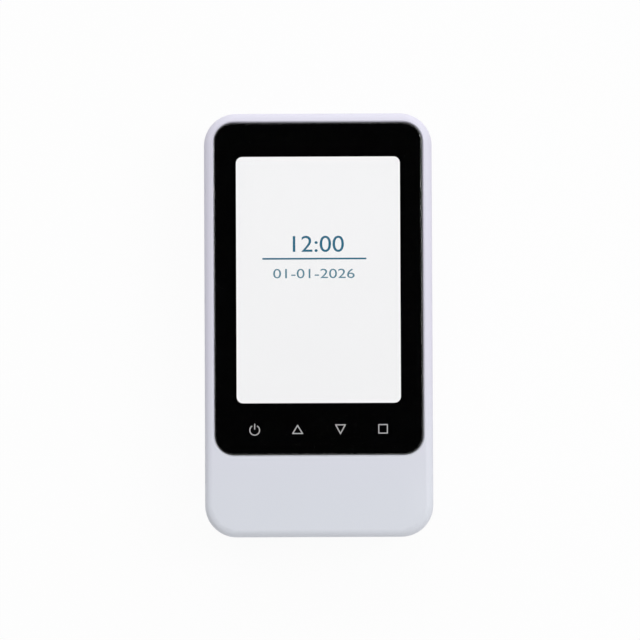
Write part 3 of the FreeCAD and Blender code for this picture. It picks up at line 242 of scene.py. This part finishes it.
def figures(name, text, size, middle, levels, body, slot):
    """A line of figures scaled to a width and height about its middle, between two levels."""
    curve = bpy.data.curves.new(name, "FONT")
    curve.body = text
    curve.extrude = 0.5  # Any thickness will do, because it is scaled below.
    holder = bpy.data.objects.new(name, curve)
    bpy.context.scene.collection.objects.link(holder)
    bpy.context.view_layer.update()
    drawn = bpy.data.meshes.new_from_object(
        holder.evaluated_get(bpy.context.evaluated_depsgraph_get()))
    bpy.data.objects.remove(holder)
    points = mesh_points(drawn)
    faces = [list(polygon.vertices) for polygon in drawn.polygons]
    bpy.data.meshes.remove(drawn)
    least, most = points.min(0), points.max(0)
    share = (points - least) / (most - least)
    points = share * [*size, levels[1] - levels[0]]
    points += [middle[0] - size[0] / 2, middle[1] - size[1] / 2, levels[0]]
    return build(name, (points, faces), body, slot, sharp=40.0, weigh=False)


# ---------------------------------------------------------------- how finishes are written


class Level:
    """A node's output. Sums, differences and products of levels add their Math nodes."""

    def __init__(self, finish, made, out=0):
        self.finish, self.made = finish, made
        self.socket = made.outputs[out] if made.outputs else None

    def output(self, out):
        """Another output of the same node."""
        return Level(self.finish, self.made, out)

    def maths(self, operation, *values):
        """A Math node of this level and others."""
        return self.finish.node("Math", {"operation": operation},
                                dict(enumerate((self,) + values)))

    def __add__(self, other):
        return self.maths("ADD", other)

    def __sub__(self, other):
        return self.maths("SUBTRACT", other)

    def __rsub__(self, other):
        return self * -1.0 + other

    def __mul__(self, other):
        return self.maths("MULTIPLY", other)

    __radd__ = __add__
    __rmul__ = __mul__

    def larger(self, other):
        """The larger of this level and another."""
        return self.maths("MAXIMUM", other)

    def smaller(self, other):
        """The smaller of this level and another."""
        return self.maths("MINIMUM", other)

    def above(self, edge, soft):
        """0 below edge - soft and 1 above edge + soft."""
        return self.finish.node("MapRange", {"interpolation_type": "SMOOTHSTEP"},
                                {0: self, 1: edge - soft, 2: edge + soft, 3: 0.0, 4: 1.0})

    def between(self, low, high):
        """low where this level is 0, and high where it is 1."""
        return self * (high - low) + low


class Finish:
    """A material or world under construction."""

    def __init__(self, owner):
        owner.use_nodes = True
        self.owner, self.tree = owner, owner.node_tree
        self.tree.nodes.clear()

    def node(self, kind, settings=None, sockets=None, out=0):
        """A node of a kind: its settings first, and then the values or links of its sockets."""
        made = self.tree.nodes.new("ShaderNode" + kind)
        for key, value in (settings or {}).items():
            setattr(made, key, value)
        for key, value in (sockets or {}).items():
            if isinstance(value, Level):
                self.tree.links.new(value.socket, made.inputs[key])
            else:
                made.inputs[key].default_value = value
        return Level(self, made, out)

    def place(self, stretch=(1, 1, 1)):
        """The piece's own coordinates in metres, stretched along its axes."""
        return self.node("Mapping", {}, {0: self.node("TexCoord", out="Object"), "Scale": stretch})

    def along(self, axis):
        """The piece's own X, Y or Z in metres."""
        return self.node("SeparateXYZ", {}, {0: self.node("TexCoord", out="Object")}, out=axis)

    def noise(self, scale, detail=2.0, stretch=(1, 1, 1)):
        """Cloudy noise of so many waves a metre, from 0 to 1."""
        return self.node("TexNoise", {"noise_dimensions": "3D"},
                         {0: self.place(stretch), "Scale": scale, "Detail": detail})

    def blend(self, share, first, second):
        """A colour that goes from the first to the second."""
        return self.node("Mix", {"data_type": "RGBA"}, {0: share, 6: first, 7: second}, out=2)

    def spread(self, share, colour, darker, lighter):
        """A colour that drifts between two of its own shades."""
        return self.blend(share, shade(colour, darker), shade(colour, lighter))

    def bump(self, height, depth, strength=0.5, rounded=0.0):
        """A normal from a height of 0 to 1 over a depth, with edges softened to a radius."""
        sockets = {"Strength": strength, "Distance": depth, "Height": height}
        if rounded:
            sockets["Normal"] = self.node("Bevel", {"samples": 4}, {0: rounded})
        return self.node("Bump", {}, sockets)

    def surface(self, colour, rough, normal=None, **others):
        """The principled shader's material. Other sockets are named with _ for each space."""
        sockets = {"Base Color": colour, "Roughness": rough}
        sockets.update({key.replace("_", " "): value for key, value in others.items()})
        if normal:
            sockets["Normal"] = normal
        return self.show(self.node("BsdfPrincipled", {}, sockets))

    def show(self, shader):
        """The material or world, with a shader on its output."""
        target = "OutputWorld" if isinstance(self.owner, bpy.types.World) else "OutputMaterial"
        self.node(target, {}, {0: shader})
        return self.owner


def new_finish(name):
    """A new material, empty so far."""
    return Finish(bpy.data.materials.new(name))


def linear(red, green, blue):
    """A linear colour from its display values of 0 to 255."""
    values = [c / 255 for c in (red, green, blue)]
    return tuple(c / 12.92 if c <= 0.04045 else ((c + 0.055) / 1.055) ** 2.4
                 for c in values) + (1.0,)


def grey(value):
    """A linear grey."""
    return (value, value, value, 1.0)


def shade(colour, by):
    """A colour made lighter or darker by a factor."""
    return tuple(min(1.0, c * by) for c in colour[:3]) + (1.0,)


# ---------------------------------------------------------------- finishes
# Scales are in waves a metre: 18 is a drift over centimetres, and 2600 a moulded grain.

DRIFT, GRAIN, GRAIN_DEPTH = 18.0, 2600.0, 0.00003


def case_plastic(name, near_tint, far_tint, rough):
    """The case's satin plastic: cooler at the near end than at the far one, with a slow drift,
    a spark-eroded grain, uneven gloss and edges softened as a mould leaves them."""
    f = new_finish(name)
    drift = f.noise(DRIFT, detail=3.0)
    fine = f.noise(GRAIN)
    towards_far_end = f.along("Y").above(-0.03, soft=0.03)
    tint = f.blend(towards_far_end, f.spread(drift, near_tint, 0.985, 1.015),
                   f.spread(drift, far_tint, 0.985, 1.015))
    return f.surface(tint, fine.between(rough - 0.06, rough + 0.06),
                     f.bump(fine, GRAIN_DEPTH, strength=0.35, rounded=0.00012))


def moulded(name, colour, rough, grain=GRAIN, spread=0.02):
    """Moulded plastic: a slow drift of tint, a fine spark-eroded grain and uneven gloss."""
    f = new_finish(name)
    fine = f.noise(grain)
    return f.surface(f.spread(f.noise(DRIFT, detail=3.0), colour, 1 - spread, 1 + spread),
                     fine.between(rough - 0.06, rough + 0.06),
                     f.bump(fine, GRAIN_DEPTH, strength=0.35))


def metal(name, colour, rough, stretch=(1, 1, 1), scale=900.0):
    """Bare or plated metal with rolling marks along one axis and slight staining."""
    f = new_finish(name)
    marks = f.noise(scale, detail=3.0, stretch=stretch)
    return f.surface(f.spread(f.noise(120.0, detail=3.0), colour, 0.86, 1.06),
                     marks.between(rough - 0.09, rough + 0.09),
                     f.bump(marks, 0.00001, strength=0.25), Metallic=1.0)


def rubber(name, colour):
    """Rubber: dull, with a pebbled skin and patches of dust."""
    f = new_finish(name)
    pebble = f.noise(1500.0, detail=3.0)
    dust = f.noise(90.0, detail=4.0).above(0.6, soft=0.15)
    return f.surface(f.spread(dust, colour, 1.0, 2.0), pebble.between(0.75, 0.9),
                     f.bump(pebble, 0.00008))


def board(name, colour, plating):
    """A circuit board: solder mask over copper tracks and a ground fill, with plated vias."""
    f = new_finish(name)
    tracks = f.node("TexBrick", {"offset": 0.37, "squash": 0.6, "squash_frequency": 3},
                    {0: f.place(), "Scale": 640.0, "Mortar Size": 0.05, "Mortar Smooth": 0.1,
                     "Brick Width": 3.1, "Row Height": 0.42}, out="Fac")
    vias = 1 - f.node("TexVoronoi", {"distance": "CHEBYCHEV"},
                      {0: f.place(), "Scale": 300.0, "Randomness": 0.8}).above(0.1, soft=0.01)
    weave = f.noise(700.0)
    return f.surface(f.blend(vias, f.spread(tracks, colour, 0.72, 1.7), plating),
                     weave.between(0.28, 0.43), f.bump(tracks * 0.6 + vias * 0.8, 0.00004))


def chip(name, colour):
    """Moulded chip bodies: near black, with a fine matt grain and faint wear."""
    f = new_finish(name)
    fine = f.noise(3000.0)
    wear = f.noise(260.0, detail=3.0).above(0.62, soft=0.1)
    return f.surface(f.spread(wear, colour, 1.0, 2.0), fine.between(0.45, 0.65),
                     f.bump(fine, 0.00002, strength=0.4))


def flexible(name, colour, trace):
    """Flexible film with copper lines showing through it."""
    f = new_finish(name)
    lines = f.node("TexWave", {"wave_type": "BANDS", "bands_direction": "DIAGONAL"},
                   {0: f.place((1, 1, 0.01)), "Scale": 900.0,
                    "Distortion": 0.0}).above(0.55, soft=0.15)
    stain = f.noise(160.0)
    return f.surface(f.blend(stain * 0.35, f.blend(lines, colour, trace), shade(colour, 0.7)),
                     stain.between(0.28, 0.43), f.bump(lines, 0.00002, strength=0.4))


def clear_glass(name):
    """Polished glass with a faint smear. Lamps reach what lies behind it."""
    f = new_finish(name)
    smear = f.noise(45.0, detail=3.0)
    glass = f.node("BsdfPrincipled", {},
                   {"Base Color": grey(1), "Roughness": smear.between(0.005, 0.025), "IOR": 1.5,
                    "Transmission Weight": 1.0})
    passing = f.node("BsdfTransparent")
    shadow = f.node("LightPath", out="Is Shadow Ray")
    return f.show(f.node("MixShader", {}, {0: shadow, 1: glass, 2: passing}))


def print_ink(name, colour):
    """Screen-printed ink with the mesh's faint pattern."""
    f = new_finish(name)
    mesh = f.noise(5200.0, detail=1.0)
    return f.surface(f.spread(f.noise(30.0), colour, 0.92, 1.08), mesh.between(0.45, 0.55),
                     f.bump(mesh, 0.000008, strength=0.3), Specular_IOR_Level=0.0)


def lit_ink(name, colour):
    """A printed or displayed mark that glows evenly, with a faint dot pattern."""
    f = new_finish(name)
    dots = f.noise(6500.0, detail=1.0)
    return f.surface(grey(0.02), dots.between(0.4, 0.5), Specular_IOR_Level=0.0,
                     Emission_Color=f.spread(dots, colour, 0.94, 1.06), Emission_Strength=1.0)


def glowing_screen(name, least, most, near_white, far_white, edge_white):
    """The lit display: even white, a little brighter towards its window's edge and its far end,
    with the faint cloudiness of its backlight."""
    f = new_finish(name)
    middle, half = (least + most) / 2 * MM, (most - least) / 2 * MM
    past_x, past_y = [(f.along(axis) - float(middle[i])).maths("ABSOLUTE") - float(half[i])
                      for i, axis in enumerate("XY")]
    edge = past_x.larger(past_y).above(-0.0005, soft=0.0006)
    cloud = f.noise(40.0)
    upper = f.along("Y").above(float(middle[1]), soft=float(half[1])) * 0.5 + cloud * 0.35
    tone = f.blend(edge, f.blend(upper, near_white, far_white), edge_white)
    return f.surface(grey(0.03), cloud.between(0.35, 0.45), Specular_IOR_Level=0.2,
                     Emission_Color=tone, Emission_Strength=1.03)


def foam(name, colour):
    """Open foam: paler walls between cells whose hollows are darkened with painted shade."""
    f = new_finish(name)
    cells = f.node("TexVoronoi", {}, {0: f.place(), "Scale": 5200.0})
    # Each cell's hollow is painted darker than its walls: painted shade.
    return f.surface(f.spread(cells, colour, 0.5, 1.8), cells.between(0.85, 0.95),
                     f.bump(cells, 0.00008, strength=0.7))


def adhesive(name, colour):
    """A tape's die-cut adhesive film, glossy with trapped air."""
    f = new_finish(name)
    air = f.noise(900.0, detail=3.0).above(0.6, soft=0.08)
    return f.surface(f.spread(air, colour, 1.0, 1.8), air.between(0.3, 0.6),
                     f.bump(air, 0.00002, strength=0.3))


def wrapped(name, colour, band, band_end):
    """The battery's film wrap: slight wrinkles with painted highlight on their crests and painted
    shade in their hollows, and a band of tape over its card's end.
    """
    f = new_finish(name)
    folds = f.noise(260.0, detail=3.0, stretch=(1, 0.3, 1))
    tape = 1 - f.along("Y").above(band_end, soft=0.0002)
    # The wrap's colour follows its wrinkles: painted highlight on the crests and painted shade in
    # the hollows.
    return f.surface(f.blend(tape, f.spread(folds, colour, 0.85, 1.1), band),
                     folds.between(0.25, 0.45), f.bump(folds, 0.0001, strength=0.4))


def glazed(name, colour, rough):
    """Smooth white with a soft gloss, a faint swell and slight handling marks."""
    f = new_finish(name)
    marks = f.noise(500.0, detail=4.0, stretch=(1, 0.15, 1)).above(0.62, soft=0.12)
    swell = f.noise(150.0)
    return f.surface(f.spread(marks, colour, 1.0, 0.95), swell.between(rough - 0.05, rough + 0.05),
                     f.bump(swell, 0.00004, strength=0.3))


def diode(name, clear, frame_grey):
    """Clear resin with its lead frame's grey shape inside."""
    f = new_finish(name)
    inside = f.noise(800.0)
    return f.surface(f.blend(inside, clear, frame_grey), inside.between(0.06, 0.12),
                     f.bump(inside, 0.00003, strength=0.3), Coat_Weight=0.6)


# The window that the black mask leaves over the display, and the length of the battery's tape.
window_low, window_high = np.array([-24.38, -23.17]), np.array([24.38, 50.07])
tape_length = 6.5

finishes = {
    "case_shell": case_plastic("fine_satin_shell", linear(212, 215, 223), linear(213, 211, 225),
                               0.42),
    "lens_clear": clear_glass("polished_cover_glass"),
    "lens_print": print_ink("black_mask_ink", (0.0012, 0.0012, 0.0013, 1)),
    "tape": adhesive("black_adhesive", (0.02, 0.02, 0.022, 1)),
    "foam": foam("black_gasket_foam", (0.03, 0.03, 0.032, 1)),
    "display_metal": metal("display_tray_steel", (0.62, 0.63, 0.64, 1), 0.32, (1, 0.05, 1)),
    "display_glass": glowing_screen("lit_screen", window_low, window_high, linear(241, 241, 242),
                                    linear(245, 245, 246), linear(251, 251, 252)),
    "flex_film": flexible("amber_flex", linear(176, 112, 40), linear(206, 150, 82)),
    "board_green": board("green_board", linear(22, 92, 52), linear(196, 178, 120)),
    "chip_black": chip("chip_black", (0.022, 0.022, 0.024, 1)),
    "socket_ivory": moulded("ivory_socket", linear(224, 214, 186), 0.45, grain=3400.0),
    "plated_steel": metal("plated_steel", (0.66, 0.66, 0.67, 1), 0.28, (1, 1, 0.1)),
    "foot_rubber": rubber("grey_rubber", linear(88, 90, 94)),
    "battery_wrap": wrapped("silver_wrap", linear(150, 154, 160), linear(196, 140, 42),
                            (extent("battery_pack")[0][1] + tape_length) * MM),
    "connector_black": moulded("black_nylon", (0.02, 0.02, 0.021, 1), 0.5, grain=3000.0,
                               spread=0.12),
    "contact_gold": metal("gold_plate", (0.83, 0.61, 0.27, 1), 0.24, (1, 1, 0.2)),
    "chassis_grey": moulded("grey_chassis", linear(146, 149, 154), 0.55, grain=2200.0),
    "motor_can": metal("drawn_can", (0.58, 0.58, 0.57, 1), 0.34, (1, 1, 0.04), scale=1400.0),
    "pinion_brass": metal("brass", (0.75, 0.57, 0.26, 1), 0.3, (1, 1, 0.2), scale=1600.0),
    "gear_acetal": moulded("natural_acetal", linear(226, 224, 214), 0.38, grain=1800.0),
    "tray_grey": moulded("pale_grey_tray", linear(196, 199, 206), 0.46, grain=2400.0),
    "holder_white": glazed("smooth_white_liner", linear(212, 215, 219), 0.3),
    "tile_white": glazed("white_tile", linear(240, 240, 238), 0.5),
    "head_black": moulded("matt_black_head", (0.014, 0.014, 0.015, 1), 0.75, spread=0.2),
    "small_glass": clear_glass("optical_glass"),
    "lamp_resin": diode("clear_resin", linear(226, 230, 232), linear(160, 168, 176)),
}
icon_grey = lit_ink("icon_grey", linear(190, 190, 192))
screen_blue = lit_ink("screen_blue", linear(26, 102, 130))
screen_slate = lit_ink("screen_slate", linear(82, 130, 148))

body_of = {node: body for body, members in frame["record"]["behaviour"]["bodies"].items()
           for node in members}
slot_of = {entry["node"]: entry["material_slot"] for entry in frame["record"]["subparts"]}
for node, carried_over in nodes.items():
    carried_over.data.materials.clear()
    carried_over.data.materials.append(finishes[slot_of[node]])

# ---------------------------------------------------------------- case, lens and screen

for node in ("front_housing", "rear_housing", "battery_cover", "tray_front", "battery_pack",
             "charging_socket", "strip_tray", "strip_holder", "drive_motor", "double_gear",
             "motor_pinion", "gear_pin", "gear_clip", "motor_shaft", "chassis", "buzzer",
             "display_ribbon", "head_ribbon", "battery_lead", "motor_lead", "sensor_lead"):
    smoothed(node, body_of[node], slot_of[node])

lens_low, lens_high = extent("front_lens")
lens_corner, lens_back_round, lens_front_round, glass_gap = 5.85, 0.12, 0.6, 0.01
lens_size = (*(lens_high - lens_low)[:2], lens_corner)
build("cover_glass", eased_plate(lens_size, lens_low[2] + glass_gap, lens_high[2],
                                 lens_back_round, lens_front_round,
                                 y=(lens_low[1] + lens_high[1]) / 2),
      "case", "lens_clear", ("front_lens",))

# The four keys' marks lie between the mask and the glass: a power sign, an up and a down
# triangle, and a square. A row of the table holds where the key's middle is, a line of points
# about it, and whether the line closes.
mark_levels = (lens_low[2] - glass_gap, lens_low[2] + 0.8 * glass_gap)
mark_y, mark_stroke = -31.05, 0.27
ring_turn = np.radians(np.linspace(90 + 30, 90 + 330, 40))
ring_radius, ring_drop = 1.45, 0.12
ring = ring_radius * np.column_stack([np.cos(ring_turn), np.sin(ring_turn)]) - [0, ring_drop]
marks = [
    (-19.08, ring, False),
    (-19.08, [(0, 1.8), (0, 0.1)], False),
    (-6.34, [(0, 1.25), (-1.46, -1.14), (1.46, -1.14)], True),
    (6.39, [(0, -1.2), (-1.41, 1.37), (1.41, 1.37)], True),
    (19.035, [(-1.265, 1.4), (1.265, 1.4), (1.265, -1.12), (-1.265, -1.12)], True),
]
key_marks = build("key_marks", gather([
    ribbon(np.array(line) + [x, mark_y], mark_stroke, *mark_levels, closed)
    for x, line, closed in marks]), "case", "lens_print", sharp=30.0, weigh=False)
key_marks.data.materials[0] = icon_grey

# What the screen shows: plain figures over and under a line. A row of the table holds the
# figures' width and height, their middle and their ink.
screen_face, ink_height = extent("display_cell")[1][2], 0.03
figure_levels = (screen_face, screen_face + ink_height)
for name, text, size, middle, ink in (
        ("screen_clock", "12:00", (15.2, 4.82), (0.05, 24.15), screen_blue),
        ("screen_date", "01-01-2026", (24.2, 2.8), (-1.3, 15.33), screen_slate)):
    line = figures(name, text, size, middle, figure_levels, "case", "display_glass")
    line.data.materials[0] = ink
rule_ends, rule_width = [(-16.6, 19.75), (14.3, 19.75)], 0.5
rule = build("screen_rule", ribbon(rule_ends, rule_width, *figure_levels, closed=False),
             "case", "display_glass", weigh=False)
rule.data.materials[0] = screen_blue

# ---------------------------------------------------------------- screws and feet


def like_solids(node, count):
    """The middle and the lowest and highest corner of each of a node's like solids, which stand
    in the four quarters or two halves of its box."""
    points = mesh_points(nodes[node].data) / MM
    middle = (points.min(0) + points.max(0)) / 2
    widest_alone = 8.0
    found = []
    for side_x in (-1, 1) if np.ptp(points[:, 0]) > widest_alone else (0,):
        for side_y in (-1, 1) if np.ptp(points[:, 1]) > widest_alone else (0,):
            own = points[((points[:, 0] - middle[0]) * side_x >= 0)
                         & ((points[:, 1] - middle[1]) * side_y >= 0)]
            found.append(((own.min(0) + own.max(0)) / 2, own.min(0), own.max(0)))
    assert len(found) == count
    return found


# How many screws, which way their shanks point, and the shank's radius, the head's radius and
# the head's height.
small_screw = (0.8, 1.6, 1.0)
screw_kinds = {
    "case_screws": (4, 1, (1.15, 2.1, 1.4)),
    "board_screws": (4, 1, small_screw),
    "chassis_screws": (4, -1, small_screw),
    "motor_screws": (2, 1, small_screw),
    "head_screws": (2, -1, small_screw),
}
for node, (count, way, sizes) in screw_kinds.items():
    shapes, head_height = [], sizes[-1]
    for middle, least, most in like_solids(node, count):
        seat = least[2] + head_height if way > 0 else most[2] - head_height
        shapes.append(screw(middle[0], middle[1], seat, way, *sizes,
                            length=most[2] - least[2] - head_height))
    build(node + "_detailed", gather(shapes), body_of[node], slot_of[node], (node,), sharp=28.0,
          weigh=False)

# A foot's radii and levels: a dish in its sole, its sole, its rounded edge, its side and its top.
foot_axis, foot_radius, dish_radius, dish_level, foot_top = 0.02, 4.2, 2.0, 0.18, 1.6
foot_profile = [(foot_axis, dish_level), (dish_radius, dish_level), (2.35, 0.0), (3.6, 0.0),
                (3.95, 0.09), (4.12, 0.3), (foot_radius, 0.6), (foot_radius, foot_top),
                (foot_axis, foot_top)]
build("rubber_feet_moulded", gather([turned(foot_profile, middle[0], middle[1])
                                     for middle, _, _ in like_solids("rubber_feet", 4)]),
      "case", "foot_rubber", ("rubber_feet",))

# The charging socket's tongue has a black sleeve with a row of contacts on each face.
tongue_width, tongue_length, tongue_corner, tongue_half, tongue_round = 6.24, 5.4, 0.3, 0.37, 0.12
tongue_drop, tongue_back = 1.6, 0.78
tongue_z = extent("main_board")[0][2] - tongue_drop
tongue_end = extent("charging_socket")[1][1] - tongue_back
build("socket_tongue", eased_plate((tongue_width, tongue_length, tongue_corner),
                                   tongue_z - tongue_half, tongue_z + tongue_half,
                                   tongue_round, tongue_round, y=tongue_end - tongue_length / 2),
      "case", "connector_black")

contact_size, contact_half, contact_round = (0.27, 3.2, 0.05), 0.02, 0.01
contact_pitch, contact_back, contact_lift = 0.5, 2.3, 0.01
contacts = [eased_plate(contact_size, z - contact_half, z + contact_half, contact_round,
                        contact_round, x, tongue_end - contact_back)
            for x in (np.arange(12) - 5.5) * contact_pitch
            for z in (tongue_z - tongue_half - contact_lift, tongue_z + tongue_half + contact_lift)]
build("socket_contacts", gather(contacts), "case", "contact_gold", weigh=False)

# ---------------------------------------------------------------- floor, light and camera

# The floor is white to the camera, in mirrors and through glass, apart from a faint shadow.
white_share = 0.94
floor_finish = new_finish("white_floor")
from_camera = floor_finish.node("LightPath", out="Is Camera Ray")
seen = from_camera.larger(from_camera.output("Is Glossy Ray"))
seen = seen.larger(from_camera.output("Is Transmission Ray"))
paper_tone = floor_finish.blend(floor_finish.noise(60.0), grey(0.74), grey(0.78))
paper = floor_finish.node("BsdfDiffuse", {}, {0: paper_tone})
white = floor_finish.node("Emission", {}, {0: grey(1), 1: 1.0})
floor_finish.show(floor_finish.node("MixShader", {}, {0: seen * white_share, 1: paper, 2: white}))

floor_reach, floor_level = 3000.0, -0.05
corners = at_level(outline(2 * floor_reach, 2 * floor_reach, floor_reach / 2), floor_level)
floor_mesh = bpy.data.meshes.new("floor")
floor_mesh.from_pydata((corners * MM).tolist(), [], [list(range(len(corners)))])
floor_mesh.materials.append(floor_finish.owner)
floor = bpy.data.objects.new("floor", floor_mesh)
bpy.context.scene.collection.objects.link(floor)

# The studio is brightest over the far end and darkest on the left, under a dark card straight
# overhead. The camera sees it white, and so do mirrors and glass, apart from the card.
left_fall, right_fall, far_rise, end_rise, top_rise = 1.14, 0.65, 1.34, 0.35, 0.3
middle_glow, studio_power = 0.93, 0.81
card_edge, card_soft = 0.93, 0.06
world = bpy.data.worlds.new("studio")
bpy.context.scene.world = world
sky = Finish(world)
side = sky.node("SeparateXYZ", {}, {0: sky.node("TexCoord", out="Generated")})
back, up = side.output("Y"), side.output("Z")
lean = side.smaller(0.0) * left_fall - side.larger(0.0) * right_fall + back.larger(0.0) * far_rise
lean = lean + back.maths("ABSOLUTE") * end_rise + up * top_rise
past_card = 1 - up.above(card_edge, card_soft)
glow = (lean + middle_glow).larger(0.0) * past_card * studio_power
from_camera = sky.node("LightPath", out="Is Camera Ray")
mirrored = from_camera.output("Is Glossy Ray").larger(from_camera.output("Is Transmission Ray"))
strength = glow + from_camera * (1 - glow) + mirrored * (past_card - glow)
sky.show(sky.node("Background", {}, {0: grey(1), 1: strength}))


def softbox(name, place, aim, width, height, power):
    """A rectangular lamp that faces a point."""
    lamp = bpy.data.lights.new(name, "AREA")
    lamp.shape = "RECTANGLE"
    lamp.size, lamp.size_y = width, height
    lamp.energy = power
    holder = bpy.data.objects.new(name, lamp)
    bpy.context.scene.collection.objects.link(holder)
    holder.location = place
    holder.rotation_euler = (Vector(aim) - Vector(place)).to_track_quat("-Z", "Y").to_euler()
    holder.visible_camera = False


softbox("key_light", place=(0.9, 0.3, 1.5), aim=(0, 0, 0.02), width=0.5, height=0.8, power=7.4)

# The camera looks down on the screen from a little towards the near end, and is turned a little.
# view_width is how much it takes in across its aim.
distance, tilt, roll = 1.2, math.radians(1.47), math.radians(0.245)
aim, view_width, sensor = Vector((0.00045, 0.00147, 0.0325)), 0.19006, 36.0
camera_data = bpy.data.cameras.new("camera")
camera_data.sensor_width = sensor
camera_data.lens = sensor * distance / view_width
camera_data.clip_end = 20.0
camera = bpy.data.objects.new("camera", camera_data)
bpy.context.scene.collection.objects.link(camera)
bpy.context.scene.camera = camera
sight = Vector((0, -math.sin(tilt), math.cos(tilt)))
across = Vector((math.sin(roll), math.cos(roll), 0)).cross(sight).normalized()
camera.location = aim + sight * distance
camera.rotation_euler = Matrix((across, sight.cross(across), sight)).transposed().to_euler()

bpy.context.scene.view_settings.view_transform = "Standard"
